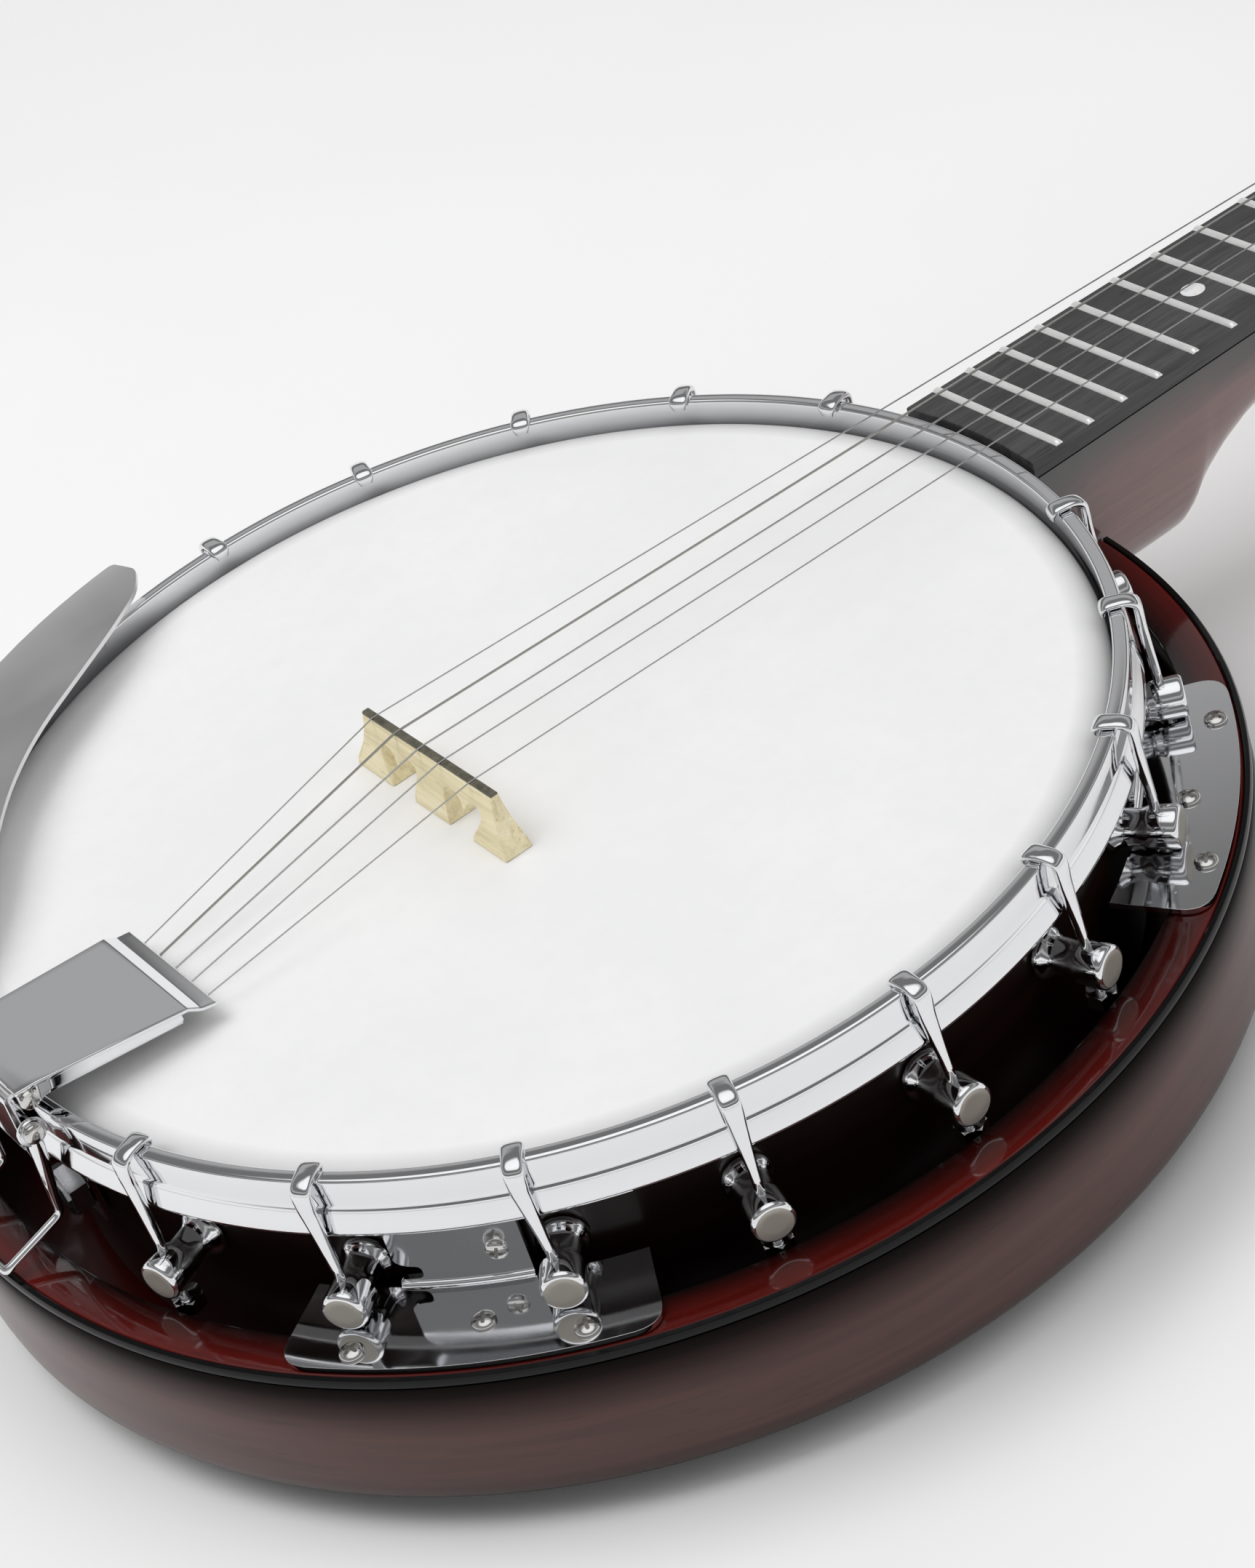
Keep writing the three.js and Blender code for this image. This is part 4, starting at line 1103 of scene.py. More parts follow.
def neck_burst(x, y, z):
    """Dark along the board, at the peghead's edge and towards the nut."""
    point = TO_NECK @ Vector((x, y, z))
    if point.x > 640:
        along = point.x - PEG_ORIGIN[0]
        half = float(np.interp(along, *zip(*PEG_HALF)))
        return 0.06 + 0.94 * ease(min(half - abs(point.y), 150 - along, along + 8) / 15)
    side = ease((NECK_TOP - point.z - 3.0) / 11.0)
    near_pot = ease((math.hypot(x, y) - 150) / 22)
    end = ease((642 - point.x) / 40)
    return 0.03 + 0.97 * side * (0.25 + 0.75 * near_pot) * (0.3 + 0.7 * end)


def pot_cutter(radius, low):
    return new_mesh(revolve([(0, low), (radius, low), (radius, 130), (0, 130)], 256))


def neck():
    """Shaft, heel and peghead in one piece, cut away to the pot."""
    mesh = new_mesh(loft([neck_ring(x) for x in NECK_STATIONS]), angle=60)
    peghead = bevelled(new_mesh(prism(mirrored(PEG_CURVE), -PEG_T, 0)), 1.4, segments=3, limit=50,
                       flat=False)
    transform_mesh(peghead, at(*PEG_ORIGIN) @ spin(PEG_TILT, 'Y'))
    mesh = boolean(mesh, peghead, 'UNION', angle=50)
    transform_mesh(mesh, NECK_PLACE)
    mesh = boolean(mesh, pot_cutter(NECK_CUT_R, 70.5))
    mesh = boolean(mesh, pot_cutter(RIM_OUT + 0.5, -30), angle=45)
    add_wood_data(mesh, neck_burst, round_grain=False)
    put("neck_body", mesh, NECK_WOOD, replaces="neck")


def peghead_veneer():
    half = [(max(x, 1.2), y - 0.7) for x, y in PEG_CURVE if x < PEG_LEN - 0.8]
    put("peghead_veneer", new_mesh(prism(mirrored(half), 0.02, 0.22)), BLACK,
        place=PEG_PLACE)


def fingerboard():
    """The board, hollowed at its end to the round of the hoop."""
    end_y = np.linspace(-half_minus_y(147), half_plus_y(147), 25)
    outline = [(math.sqrt(NECK_CUT_R ** 2 - y * y) + 0.05, y) for y in end_y]
    stations = [*np.linspace(170, 455, 12), *np.linspace(458, 480, 9),
                *np.linspace(490, NUT_X - 0.3, 8)]
    outline += [(x, half_plus_y(x)) for x in stations]
    outline += [(x, -half_minus_y(x)) for x in stations[::-1]]
    mesh = bevelled(new_mesh(prism(outline, -BOARD_T, 0)), 0.5, limit=50, angle=35)
    put("fingerboard_blank", mesh, BOARD, replaces="fingerboard", place=NECK_PLACE)


def fret_part(x):
    """One fret wire, rounded down at both ends."""
    y0, y1 = -half_minus_y(x) + 0.35, half_plus_y(x) - 0.35
    ends = ((0, 0.55), (0.6, 0.95), (1.2, 1.0))              # distance in from the end, height
    stations = [(y0 + inset, height) for inset, height in ends]
    stations += [(y0 + (y1 - y0) * k / 6, 1.0) for k in range(1, 6)]
    stations += [(y1 - inset, height) for inset, height in ends[::-1]]
    return loft([[(x + 1.15 * math.cos(a), y, -0.05 + 1.12 * height * math.sin(a))
                  for a in np.linspace(0, math.pi, 9)] + [(x - 0.3, y, -0.6), (x + 0.3, y, -0.6)]
                 for y, height in stations])


def frets_and_dots():
    frets = [fret_part(fret_x(number)) for number in range(1, FRETS + 1)]
    put("frets", new_mesh(merge(*frets), angle=50), FRET_METAL, place=NECK_PLACE)
    dot = revolve([(0, -0.5), (3.3, -0.5), (3.3, 0.02), (3.1, 0.06), (0, 0.06)], 36)
    side_dot = revolve([(0, 0), (1.1, 0), (1.1, 0.3), (0, 0.3)], 20, axis='Y')
    dots, side_dots = [], []
    for number in MARKED_FRETS:
        x = (fret_x(number) + fret_x(number - 1)) / 2
        middle = (half_plus_y(x) - half_minus_y(x)) / 2
        for side in ((-1, 1) if number == 12 else (0,)):
            dots.append(shift(dot, (x, middle + side * 7.5, 0)))
            side_dots.append(shift(side_dot, (x + side * 2.4, half_plus_y(x) - 0.22, -2.5)))
    put("inlay_dots", new_mesh(merge(*dots)), PEARL, place=NECK_PLACE)
    put("side_dots", new_mesh(merge(*side_dots)), PEARL, place=NECK_PLACE)


def slotted_stations(first, last, count, slots, edge):
    """Stations along Y with extra ones at each string slot."""
    extra = [y + d for y in slots for d in (-edge, -0.42, -0.2, 0, 0.2, 0.42, edge)]
    return sorted({round(float(y), 3) for y in (*np.linspace(first, last, count), *extra)})


def slot_dip(y, slots):
    """1 at the middle of a string slot, 0 outside it."""
    return 1 - min(1.0, min(abs(y - slot) for slot in slots) / SLOT_HALF) ** 2


def nuts():
    rings = []
    for y in slotted_stations(-half_minus_y(NUT_X), half_plus_y(NUT_X), 30, NUT_Y, edge=0.5):
        top = 2.75 - 0.6 * slot_dip(y, NUT_Y) - 0.25 * ((y - 0.6) / 16) ** 2
        section = [(0.05, -4.75), (0.05, top - 0.3), (0.4, top), (2.2, top - 0.15),
                   (4.2, top - 0.9), (4.6, top - 1.4), (4.6, -4.75)]
        rings.append([(NUT_X + x, y, z) for x, z in section])
    put("string_nut", new_mesh(loft(rings), angle=45), BONE, replaces="nut",
        place=NECK_PLACE)
    pip = revolve([(0, 0.05), (1.5, 0.05), (1.5, 0.7), (1.15, 1.2), (1.15, 1.9), (1.5, 2.35),
                   (1.3, 2.7), (0, 2.8)], 24)
    put("fifth_nut", new_mesh(shift(pip, (FIFTH_NUT_X, FIFTH_NUT_Y, 0)), angle=40), BONE,
        replaces="fifth_string_nut", place=NECK_PLACE)


def truss_cover():
    outline = spline([(6, -7), (6, 7), (16, 9.4), (24, 7.8), (30.5, 3.4), (33, 0), (30.5, -3.4),
                      (24, -7.8), (16, -9.4)], 5, closed=True)
    put("truss_cover_plate", bevelled(new_mesh(prism(outline, 0.3, 1.9)), 0.45, limit=40), BLACK,
        replaces="truss_rod_cover", place=PEG_PLACE)
    for i, (x, y) in enumerate(((9, -4.6), (9, 4.6), (29, 0))):
        put(f"truss_cover_screw_{i + 1}", SMALL_SCREW, SCREW,
            place=PEG_PLACE @ at(x, y, 1.95) @ spin(0.7 * i))


neck()
peghead_veneer()
fingerboard()
frets_and_dots()
nuts()
truss_cover()

# ---------------------------------------------------------------- tuners
# Along each knob: distance from its middle, half width in x, half thickness in z
KNOB = [(-8.4, 1.6, 1.6), (-8.2, 4.2, 2.3), (-7.2, 6.0, 2.9), (-5, 7.6, 3.15), (-2, 8.7, 3.2),
        (1.5, 9.3, 3.2), (4.5, 8.9, 3.15), (6.6, 7.2, 2.95), (7.8, 5.0, 2.5), (8.3, 2.4, 1.6)]
FIFTH_KNOB = [(-8.2, 2.0, 2.0), (-7.6, 5.0, 2.6), (-5, 7.4, 3.1), (-2, 8.5, 3.2), (1.5, 8.9, 3.2),
              (4.5, 8.5, 3.15), (6.6, 6.8, 2.9), (7.7, 4.6, 2.4), (8.1, 2.2, 1.6)]


def knob_part(stations, stretch=1):
    """A flattened knob along Y."""
    return loft([[(half_x * signed_power(math.cos(a), 0.8), along * stretch,
                   half_z * signed_power(math.sin(a), 0.8)) for a in full_turn(28)]
                 for along, half_x, half_z in stations])


def tuner(number, x, side):
    """One tuner; side is +1 or -1 for the peghead's +Y or -Y edge."""
    y, z = side * POST_Y, PEG_BACK - 7
    y0, y1 = sorted((y - side * 7, y + side * 9))
    at_post = PEG_PLACE @ at(x, y, 0)
    post_body = f"tuner_post_{number}"

    case = prism(rounded(rectangle(x - 9, x + 9, y0, y1), 3.2, 5), PEG_BACK - 11, PEG_BACK - 0.05)
    put(f"tuner_case_{number}", bevelled(new_mesh(case), 1.3, segments=3, limit=40), CHROME_SOFT,
        replaces=f"tuner_housing_{number}", place=PEG_PLACE)
    boss = revolve([(2.0, 0), (4.2, 0), (4.2, 3.2), (3.6, 3.9), (2.0, 3.9)], 28, axis='Y')
    put(f"tuner_worm_boss_{number}", new_mesh(shift(boss, (x, y + side * 9.02, z), side)),
        CHROME_SOFT, place=PEG_PLACE)
    put(f"tuner_case_screw_{number}", SMALL_SCREW, SCREW,
        place=PEG_PLACE @ at(x, y - side * 3.6, PEG_BACK - 11) @ spin(math.pi, 'X'))

    washer = revolve([(3.45, 0.2), (6.4, 0.2), (6.4, 0.9), (5.8, 1.25), (3.45, 1.25)], 36)
    put(f"tuner_washer_{number}", new_mesh(washer), CHROME, place=at_post)
    bore = revolve([(0, 0), (3.45, 0), (3.45, 6), (0, 6)], 28)
    bushing = boolean(new_mesh(prism(hexagon(9.4), 1.2, 3.4)), new_mesh(bore), angle=30)
    put(f"tuner_bushing_{number}", bushing, CHROME, place=at_post)

    post = revolve([
        (0, PEG_BACK - 6), (3.0, PEG_BACK - 6), (3.1, PEG_BACK - 5.5), (3.1, 6.0), (2.75, 7.0),
        (2.6, 8.0), (2.75, 9.2), (3.1, 10.6), (3.1, 14.2), (3.6, 14.9), (3.7, 16.2), (3.3, 16.9),
        (0, 17)], 32)
    string_hole = revolve([(0, -6), (0.8, -6), (0.8, 6), (0, 6)], 16, axis='Y')
    mesh = boolean(new_mesh(post, angle=45), new_mesh(shift(string_hole, (0, 0, 8.6))))
    put(f"tuner_shaft_{number}", mesh, CHROME, replaces=post_body, body=post_body,
        place=at_post)
    coil = [(3.12 * math.cos(a * side), 3.12 * math.sin(a * side), 5.9 + 0.36 * a / 6.28 * 1.5)
            for a in np.linspace(0, 6.28 * 3.2, 96)]
    put(f"string_winding_{number}", new_mesh(tube(coil, 0.24, 8), angle=60),
        WOUND_STRING if number == 3 else PLAIN_STRING, body=post_body,
        place=at_post)

    stem_start = POST_Y + 5.6
    stem = revolve([(0, stem_start), (1.85, stem_start), (1.85, 41), (2.6, 42), (3.3, 43.4),
                    (3.3, 45.0), (2.4, 46.6), (0, 46.8)], 28, axis='Y')
    knob = merge(shift(knob_part(KNOB), (x, side * 54.0, z), side), shift(stem, (x, 0, z), side))
    put(f"tuner_knob_{number}", new_mesh(knob, angle=50), CHROME,
        replaces=f"tuner_button_{number}", body=f"tuner_button_{number}", place=PEG_PLACE)


for number, (side, post_x) in enumerate([(s, x) for s in (-1, 1) for x in POST_X], 1):
    tuner(number, post_x, side)

# ---------------------------------------------------------------- fifth-string peg
FIFTH_FACE = half_plus_y(FIFTH_PEG_X) + 0.3        # y of the neck's side at the peg


def fifth_turned(profile, segments=28):
    """A turned part along Y on the peg's axis; heights are from the neck's side."""
    return shift(revolve(profile, segments, axis='Y'), (FIFTH_PEG_X, FIFTH_FACE, FIFTH_PEG_Z))


def fifth_peg():
    root = 8 - FIFTH_FACE
    base = merge(
        fifth_turned([(0, root), (3.15, root), (3.15, -0.2), (0, -0.2)]),
        fifth_turned([(0, -0.1), (5.2, 0.1), (5.5, 0.5), (5.3, 1.7), (4.6, 2.2), (0, 2.2)], 36),
        fifth_turned([(0, 2), (1.1, 2), (1.1, 16), (0, 16)]))
    put("fifth_peg_bushing", new_mesh(base), CHROME, replaces="fifth_peg_base",
        place=NECK_PLACE)
    spool = fifth_turned([(1.5, 2.6), (2.9, 2.6), (3.1, 3.1), (2.7, 4.4), (2.6, 6.2), (2.8, 8.0),
                          (3.8, 8.8), (4.2, 9.4), (4.0, 10.3), (1.5, 10.4)])
    put("fifth_peg_spool", new_mesh(spool), CHROME, replaces="fifth_peg_post",
        body="fifth_peg_post", place=NECK_PLACE)
    coil = [(FIFTH_PEG_X + 2.95 * math.cos(a), FIFTH_FACE + 4.6 + 0.52 * a / 6.28,
             FIFTH_PEG_Z + 2.95 * math.sin(a))
            for a in np.linspace(math.pi / 2, math.pi / 2 + 6.28 * 2.9, 90)]
    put("string_winding_5", new_mesh(tube(coil, 0.24, 8), angle=60), PLAIN_STRING,
        body="fifth_peg_post", place=NECK_PLACE)
    housing = fifth_turned([(1.5, 10.8), (5.9, 10.8), (6.4, 11.3), (6.4, 17.6), (5.7, 18.8),
                            (3.4, 19.4), (2.8, 20.4), (2.8, 22.6), (0, 22.8), (0, 16.5),
                            (1.5, 16.5)], 36)
    knob = shift(knob_part(FIFTH_KNOB, 0.9), (FIFTH_PEG_X, FIFTH_FACE + 29.0, FIFTH_PEG_Z))
    put("fifth_peg_knob", new_mesh(merge(housing, knob), angle=45), CHROME,
        replaces="fifth_peg_button", body="fifth_peg_button", place=NECK_PLACE)


fifth_peg()

# ---------------------------------------------------------------- bridge
BRIDGE_FOOT = HEAD_TOP + 0.06
MAPLE_TOP = BRIDGE_TOP - 0.3
# (distance from the middle, z): underside from the middle foot out, then the outer end
BRIDGE_ARCH = [
    (7.6, BRIDGE_FOOT), (7.2, 83.6), (6.5, 86.4), (5.9, 89.0), (6.4, 90.8), (8.4, 91.8),
    (11.0, 91.6), (13.0, 90.0), (14.3, 87.6), (15.6, 90.0), (17.6, 91.5), (19.8, 91.7),
    (21.4, 90.6), (21.6, 88.8), (20.4, 86.4), (18.2, 83.6), (17.3, BRIDGE_FOOT)]
BRIDGE_END = [(32.4, BRIDGE_FOOT), (32.0, 83.8), (30.6, 86.0), (29.0, 89.2), (28.1, 92.8),
              (28, MAPLE_TOP)]
# x of the tailpiece and neck faces at each height
BRIDGE_TAPER_Z = [HEAD_TOP, 84, 90, MAPLE_TOP]
BRIDGE_TAPER_X = [[-27.2, -26.9, -25.0, -23.5], [-19.3, -19.5, -20.4, -21.2]]


def bridge():
    def half(side):
        return ([(side * y, z) for y, z in BRIDGE_ARCH]
                + [(1 + side * y, z) for y, z in BRIDGE_END])

    outline = half(-1)[::-1] + half(1)
    faces = [[(float(np.interp(z, BRIDGE_TAPER_Z, taper)), y, z) for y, z in outline]
             for taper in BRIDGE_TAPER_X]
    put("bridge_maple_body", bevelled(new_mesh(slab(*faces)), 0.28, limit=25, angle=35), MAPLE,
        replaces="bridge")
    rings = []
    low = MAPLE_TOP + 0.02
    for y in slotted_stations(-26.9, 28.9, 40, BRIDGE_Y, edge=0.55):
        top = BRIDGE_TOP + 0.42 - 0.5 * slot_dip(y, BRIDGE_Y)
        section = [(-23.42, low), (-23.35, top - 0.2), (-23.1, top), (-21.6, top),
                   (-21.35, top - 0.2), (-21.28, low)]
        rings.append([(x, y, z) for x, z in section])
    put("bridge_top_strip", new_mesh(loft(rings), angle=40), EBONY)


bridge()

# ---------------------------------------------------------------- tailpiece
LID_X = [-150.5, -149.6, -148, -145, -140, -130, -120, -112, -109, -107.9, -107.4, -106, -104.8,
         -104.3, -102.4, -101.2, -100.8]
HINGE = (-148, 0, 91.3)
LOOP_X, LOOP_Z = -151, 84.2        # pivot of the wire loop


def lid_half(x):
    return float(np.interp(x, [-151, -100], [17, 20.4]))


def lid_z(x):
    return float(np.interp(x, [-150.5, -145, -107.6, -104.6, -100.8],
                           [94.75, 94.65, 89.95, 88.05, 87.25]))


def tail_hanger():
    outline = rounded(
        [(-139.8, 86.3), (-139.8, 87.5), (-150.4, 87.5), (-151.4, 86.6), (-151.4, 68), (-142, 60),
         (-142, 41), (-140.3, 41), (-140.3, 60.6), (-149.7, 68.6), (-149.7, 86.3)],
        [0.3, 0.3, 1.0, 1.0, 3, 3, 0.4, 0.4, 3, 3, 0.4], 4)
    put("tailpiece_bracket", bevelled(new_mesh(side_prism(outline, -7, 7)), 0.35), CHROME,
        replaces="tailpiece_hanger")


def tail_lid():
    """The hinged lid: a slightly crowned sheet, two sides and the hinge pin."""
    rings = []
    for x in LID_X:
        half = lid_half(x)
        top = [(x, y, lid_z(x) - 0.15 * (y / half) ** 2) for y in np.linspace(-half, half, 17)]
        rings.append(top + [(x, y, z - 1.25) for x, y, z in top[::-1]])
    put("tailpiece_lid", bevelled(new_mesh(loft(rings)), 0.45, segments=3, limit=50, angle=30),
        CHROME, replaces="tailpiece_cover", body="tailpiece_cover")

    outline = [(x, lid_z(x) - 0.6) for x in (-150.2, -145, -130, -112, -109.2)]
    outline += [(-109.2, 87.4), (-112, 86.95), (-130, 88.95), (-143, 90.4), (-146, 89.2),
                (-149, 89.2), (-150.2, 90.4)]
    sides = [slab(*[[(x, side * (lid_half(x) - inset), z) for x, z in outline]
                    for inset in (0.05, 1.35)]) for side in (-1, 1)]
    put("tailpiece_lid_sides", bevelled(new_mesh(merge(*sides)), 0.25), CHROME,
        body="tailpiece_cover")

    pin = revolve([(0, -16.9), (1.0, -16.9), (1.0, 16.9), (0, 16.9)], 20, axis='Y')
    cap = revolve([(0, 0), (2.3, 0), (2.5, 0.3), (2.2, 0.9), (1.2, 1.25), (0, 1.3)], 28, axis='Y')
    caps = [shift(cap, (HINGE[0], side * 17.15, HINGE[2]), side) for side in (-1, 1)]
    put("tailpiece_hinge_pin", new_mesh(merge(shift(pin, HINGE), *caps)), SCREW,
        body="tailpiece_cover")


def tail_channel():
    """The open channel under the lid, with the pins the strings hook on."""
    rings = []
    wall = 1.5
    for x in np.linspace(-148.3, -109, 14):
        half = float(np.interp(x, [-151, -109], [15.2, 17.8]))
        low = float(np.interp(x, [-148.2, -109], [88.63, 84.8]))
        top = float(np.interp(x, [-148.2, -144, -109], [92.9, 92.75, 88.0]))
        inner = half - wall
        section = [(-half, top), (-half, low + 0.4), (-half + 0.5, low), (half - 0.5, low),
                   (half, low + 0.4), (half, top), (inner, top), (inner, low + 1.6),
                   (inner - 0.5, low + 1.1), (-inner + 0.5, low + 1.1), (-inner, low + 1.6),
                   (-inner, top)]
        rings.append([(x, y, z) for y, z in section])
    put("tailpiece_channel", bevelled(new_mesh(loft(rings)), 0.2), CHROME,
        replaces="tailpiece_base")
    pin = revolve([(0, 0), (0.9, 0), (0.9, 1.4), (1.3, 1.7), (1.2, 2.2), (0, 2.4)], 18)
    pins = [shift(pin, (-139.2, y * 0.9, 88.75)) for y in TAIL_Y]
    put("tailpiece_string_pins", new_mesh(merge(*pins)), SCREW)


def tail_loop():
    """A wire loop over the resonator's edge on two side rods with screwed lugs."""
    wire = [(-152.3, -13.9, 58.6), (-152.6, -14, 57.4), (-153.6, -14, 56.5), (-157, -14, 55.4),
            (-165, -14, 53.0), (-168.6, -13.8, 51.9), (-169.4, -12.4, 51.7), (-169.45, -6, 51.7),
            (-169.45, 0, 51.7)]
    wire += [(x, -y, z) for x, y, z in wire[-2::-1]]
    # x, distance from the middle, z, radius
    rod = [(LOOP_X, 18.1, LOOP_Z, 1.7), (-151.2, 17.7, 80, 1.9), (-151.7, 16.0, 71, 1.65),
           (-152.2, 14.3, 61.5, 1.2), (-152.3, 13.9, 58.4, 1.1)]
    lug = revolve([(0, 0), (3.3, 0), (3.5, 0.25), (3.5, 1.25), (3.3, 1.5), (0, 1.5)], 36, axis='Y')
    screw = revolve([(0, 0), (2.3, 0), (2.5, 0.25), (2.4, 0.8), (1.8, 1.25), (1.0, 1.45),
                     (0.7, 1.45), (0.6, 0.8), (0, 0.8)], 28, axis='Y')
    parts, screws = [tube(spline(wire, 5), 1.1, 14)], []
    for side in (-1, 1):
        parts.append(tube([(x, side * y, z) for x, y, z, _ in rod], [row[3] for row in rod], 16))
        parts.append(shift(lug, (LOOP_X, side * 17.45, LOOP_Z), side))
        screws.append(shift(screw, (LOOP_X, side * 18.98, LOOP_Z), side))
    put("tailpiece_loop_screws", new_mesh(merge(*screws), angle=50), SCREW)
    put("tailpiece_wire_loop", new_mesh(merge(*parts), angle=50), CHROME,
        replaces="tailpiece_bail")


def tail_nut():
    nut = shift(lay_along(prism(hexagon(12), -146.6, -142.2), 'X'), (0, 0, 50))
    put("tail_nut", bevelled(new_mesh(nut), 0.5, limit=40), SCREW)


tail_hanger()
tail_lid()
tail_channel()
tail_loop()
tail_nut()

# ---------------------------------------------------------------- armrest
ARM_START, ARM_END, ARM_IN, ARM_OUT = 98.4, 166.0, 129.0, 162.0
FOOT_ANGLES = (117, 153)
# Rounded end: degrees in from the end, inner radius, outer radius
ARM_TIP = [
    (0, 151.6, 160.6), (0.12, 150.4, 161.3), (0.4, 148.6, 161.9), (0.8, 147.2, ARM_OUT),
    (1.4, 145.2, ARM_OUT), (2.0, 143.4, ARM_OUT), (2.7, 141.7, ARM_OUT), (3.6, 140, ARM_OUT),
    (5, 138, ARM_OUT), (7.5, 135.4, ARM_OUT), (10, 133.3, ARM_OUT), (13, 131.5, ARM_OUT),
    (16, 130.3, ARM_OUT), (20, 129.3, ARM_OUT), (24, ARM_IN, ARM_OUT)]


def arm_z(r):
    return 94.2 - 0.10 * (r - ARM_IN) - 0.0028 * max(0, r - 144) ** 2


def armrest():
    spans = [(ARM_START + inset, r0, r1) for inset, r0, r1 in ARM_TIP]
    spans += [(a, ARM_IN, ARM_OUT) for a in np.linspace(ARM_START + 25.5, ARM_END - 25.5, 10)]
    spans += [(ARM_END - inset, r0, r1) for inset, r0, r1 in ARM_TIP[::-1]]
    rings = []
    for angle, r0, r1 in spans:
        cos, sin = math.cos(rad(angle)), math.sin(rad(angle))
        top = [(r * cos, r * sin, arm_z(r)) for r in np.linspace(r0, r1, 15)]
        rings.append(top + [(x, y, z - 1.5) for x, y, z in top[::-1]])
    put("armrest_plate", bevelled(new_mesh(loft(rings)), 0.5, segments=3, limit=50, angle=30),
        SATIN, replaces="armrest")

    outline = rounded([(150.2, 91.2), (150.2, 68.4), (146, 68.2), (146, 66.7), (151.8, 66.6),
                       (151.8, 91)], [0.3, 1.0, 0.4, 0.4, 2.0, 0.3], 4)
    foot = side_prism(outline, -6, 6)
    screw = revolve([(0, 60.5), (2.6, 60.5), (2.9, 61), (2.9, 65.6), (2.5, 66.3), (1.6, 66.5),
                     (1.6, 70.6), (1.2, 70.9), (0, 70.9)], 20)
    feet, screws = [merge(*[placed(part, spin(rad(angle))) for angle in FOOT_ANGLES])
                    for part in (foot, shift(screw, (147.6, 0, 0)))]
    put("armrest_feet", bevelled(new_mesh(feet), 0.35), CHROME)
    put("armrest_clamp_screws", new_mesh(screws), SCREW)


armrest()


# ---------------------------------------------------------------- strings
def on_neck(x, y, z, place=NECK_PLACE):
    return tuple(transformed([(x, y, z)], place)[0])


def string(index, neck_points):
    """A string from its tailpiece pin over the bridge and on through the neck points."""
    tail_y, bridge_y = TAIL_Y[index], BRIDGE_Y[index]
    bridge_z = BRIDGE_TOP + STRING_LIFT + 0.05
    path = [(-139, tail_y * 0.9, 89.6), (-125, tail_y * 0.94, 88.1), (-109, tail_y * 0.98, 86.45),
            (-101, tail_y, 85.75), (BRIDGE_X - 1.0, bridge_y, bridge_z),
            (BRIDGE_X + 1.0, bridge_y, bridge_z)]
    mesh = new_mesh(tube(path + neck_points, STRING_R[index], 10), angle=None)
    put(f"string_wire_{index + 1}", mesh, WOUND_STRING if index == 3 else PLAIN_STRING,
        replaces=f"string_{index + 1}")


for i, nut_y in enumerate(NUT_Y):
    side = -1 if i < 2 else 1
    post_x = POST_X[i if i < 2 else 3 - i]
    string(i, [on_neck(NUT_X + 0.3, nut_y, 2.2 + STRING_LIFT),
               on_neck(NUT_X + 1.5, nut_y, 2.15 + STRING_LIFT),
               on_neck(NUT_X + 4.2, nut_y, 1.5 + STRING_LIFT),
               on_neck(post_x - 0.3, side * (POST_Y - 3.25), 6.4, place=PEG_PLACE)])
string(4, [on_neck(FIFTH_NUT_X - 1.5, FIFTH_NUT_Y + 1.25, 1.75),
           on_neck(FIFTH_NUT_X + 1.5, FIFTH_NUT_Y + 1.5, 1.6),
           on_neck(FIFTH_PEG_X - 7.5, half_plus_y(FIFTH_PEG_X - 7.5) + 0.9, -1.5),
           on_neck(FIFTH_PEG_X - 0.2, FIFTH_FACE + 4.9, FIFTH_PEG_Z + 3.2)])


# ---------------------------------------------------------------- floor, world, lights, camera
def studio_floor():
    s = Surface("studio_floor")
    cloud = s.noise(s.coords(), scale=3.0, detail=4, roughness=0.55)
    s.set(base_color=s.mix(s.remap(cloud, to=(0, 1)), (0.90, 0.90, 0.90), (0.93, 0.93, 0.93)),
          roughness=0.8, specular_ior_level=0.1)
    bm = bmesh.new()
    bmesh.ops.create_grid(bm, x_segments=2, y_segments=2, size=6.0)
    mesh = bpy.data.meshes.new("floor")
    bm.to_mesh(mesh)
    bm.free()
    mesh.materials.append(s.material)
    floor = bpy.data.objects.new("studio_floor", mesh)
    SCENE.collection.objects.link(floor)
    floor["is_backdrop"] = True


# A soft dome, the same all the way round: (elevation in degrees, brightness)
SKY = [(-10, 0.95), (8.5, 0.95), (14, 0.16), (24, 0.16), (29, 0.42), (36, 0.42), (40, 0.18),
       (56, 0.18), (64, 1.05), (90, 1.15)]


def studio_world():
    world = bpy.data.worlds.new("studio")
    SCENE.world = world
    s = Shader(world)
    output, background = s.add("OutputWorld"), s.add("Background")
    s.feed(output.inputs[0], background.outputs[0])
    height = s.separate(s.add("TexCoord").outputs["Generated"])[2]
    elevation = s.math('MULTIPLY', s.math('ARCSINE', height), 180 / math.pi)
    stops = [((degrees + 10) / 100.0, (level,) * 3) for degrees, level in SKY]
    s.feed(background.inputs[0], s.ramp(s.remap(elevation, to=(0, 1), span=(-10, 90)), stops))
    background.inputs[1].default_value = 1.0


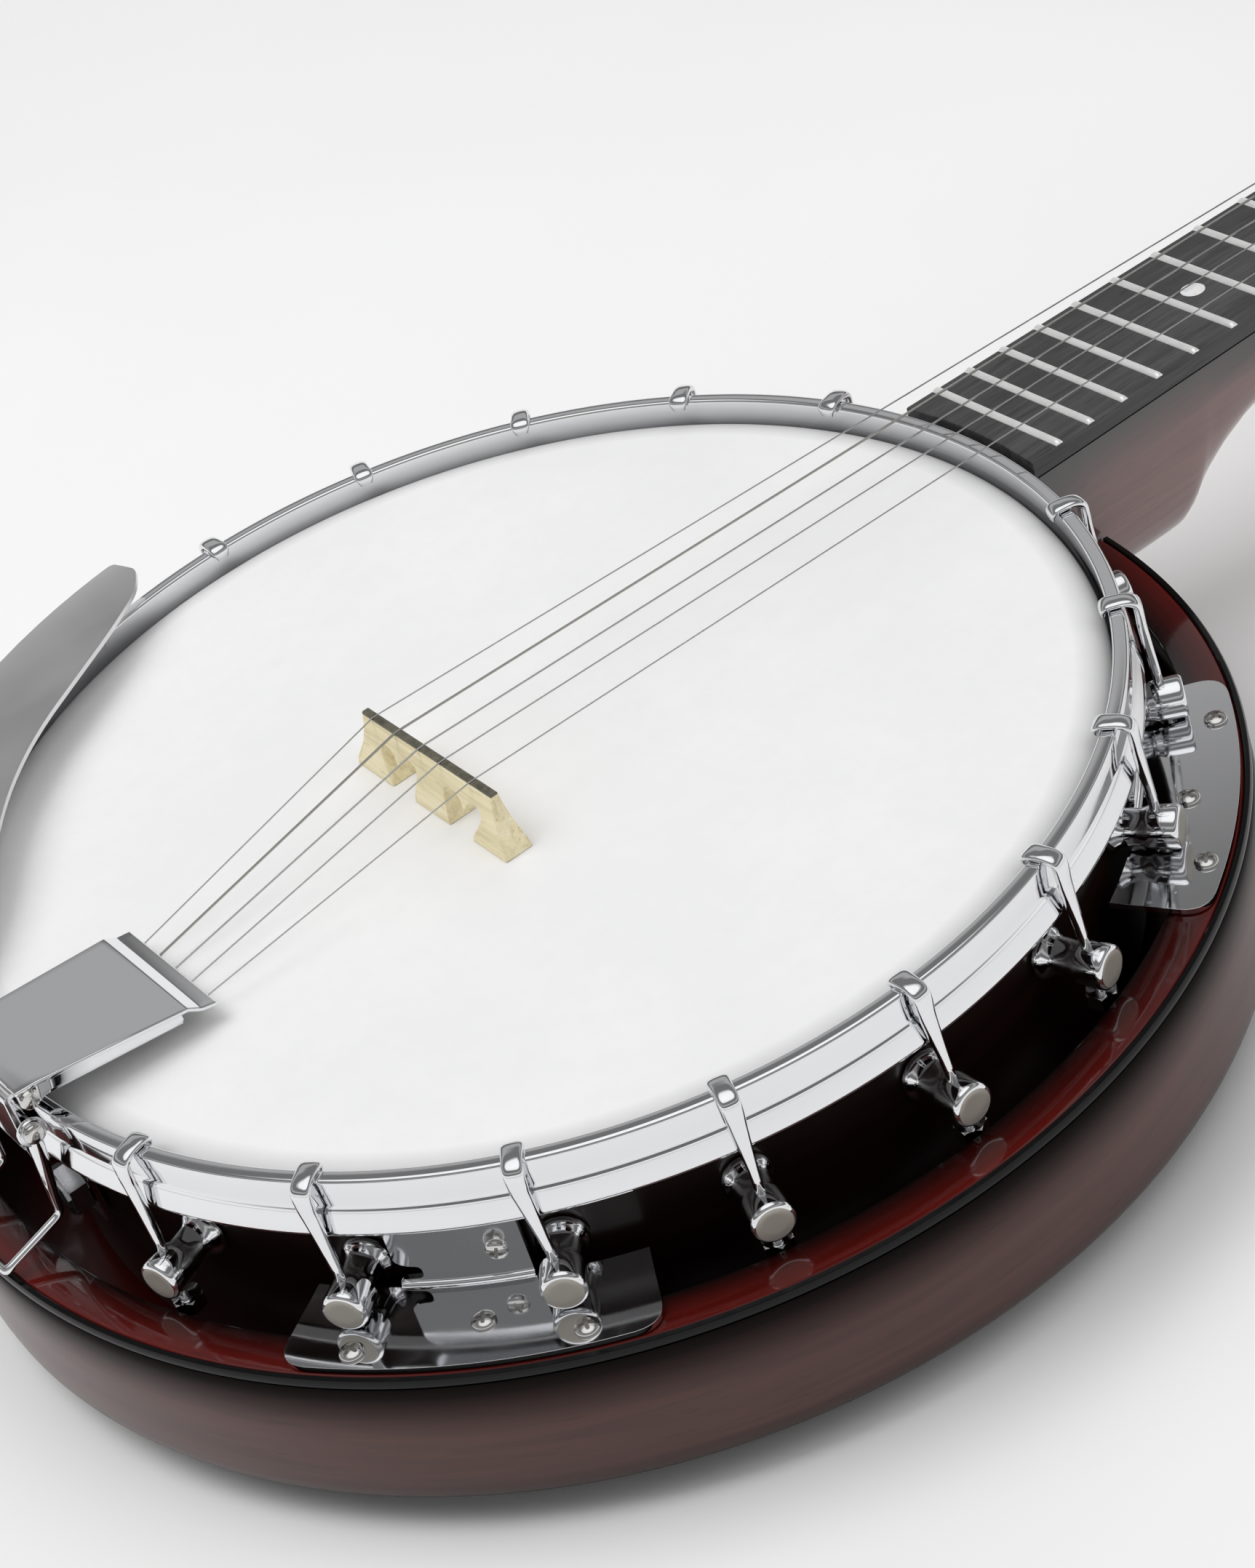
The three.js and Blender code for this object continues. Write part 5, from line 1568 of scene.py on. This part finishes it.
def area_light(name, azimuth, elevation, distance, target, size, energy):
    """A square light aimed at a target; angles in degrees, lengths in metres."""
    light = bpy.data.lights.new(name, 'AREA')
    light.energy = energy
    light.shape = 'RECTANGLE'
    light.size = light.size_y = size
    lamp = bpy.data.objects.new(name, light)
    SCENE.collection.objects.link(lamp)
    level = math.cos(rad(elevation))
    lamp.location = location = (distance * math.cos(rad(azimuth)) * level,
                                distance * math.sin(rad(azimuth)) * level,
                                distance * math.sin(rad(elevation)))
    aim = Vector(target) - Vector(location)
    lamp.rotation_euler = aim.to_track_quat('-Z', 'Y').to_euler()
    lamp.visible_glossy = False
    lamp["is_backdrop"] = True


# The view as a rotation vector, and the offset in mm from the camera to the hoop's top centre,
# in camera axes of x right, y down and z ahead
VIEW_TURN = Vector((2.03709057295, -0.83200469747, 0.07423862787))
VIEW_OFFSET = Vector((-26.4873553042, -10.7616018681, 847.094092152))
LENS, SENSOR_WIDTH = 81.024793, 36


def studio_camera():
    view = Matrix.Rotation(VIEW_TURN.length, 3, VIEW_TURN.normalized())
    position = -(view.transposed() @ VIEW_OFFSET)
    camera = bpy.data.cameras.new("cam")
    camera.sensor_width = SENSOR_WIDTH
    camera.lens = LENS
    camera.clip_start = 0.01
    camera.clip_end = 50
    holder = bpy.data.objects.new("cam", camera)
    SCENE.collection.objects.link(holder)
    matrix = Matrix((view[0], -view[1], -view[2])).transposed().to_4x4()
    matrix.translation = (position + Vector((0, 0, HOOP_TOP))) * MM
    holder.matrix_world = matrix
    SCENE.camera = holder


studio_floor()
studio_world()
area_light("key_soft", azimuth=150, elevation=62, distance=1.6, target=(0, 0, 0.05), size=1.1,
           energy=12)
area_light("fill_soft", azimuth=-60, elevation=48, distance=1.8, target=(0.05, 0, 0.05), size=1.2,
           energy=6)
area_light("back_soft", azimuth=40, elevation=40, distance=1.9, target=(0, 0, 0.05), size=1.0,
           energy=4)
studio_camera()
SCENE.view_settings.view_transform = 'Standard'
SCENE.view_settings.look = 'None'
SCENE.view_settings.exposure = 0.0

# CAD pieces that are still shown without a material become chrome
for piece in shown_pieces():
    if not any(piece.data.materials):
        piece.data.materials.append(CHROME)
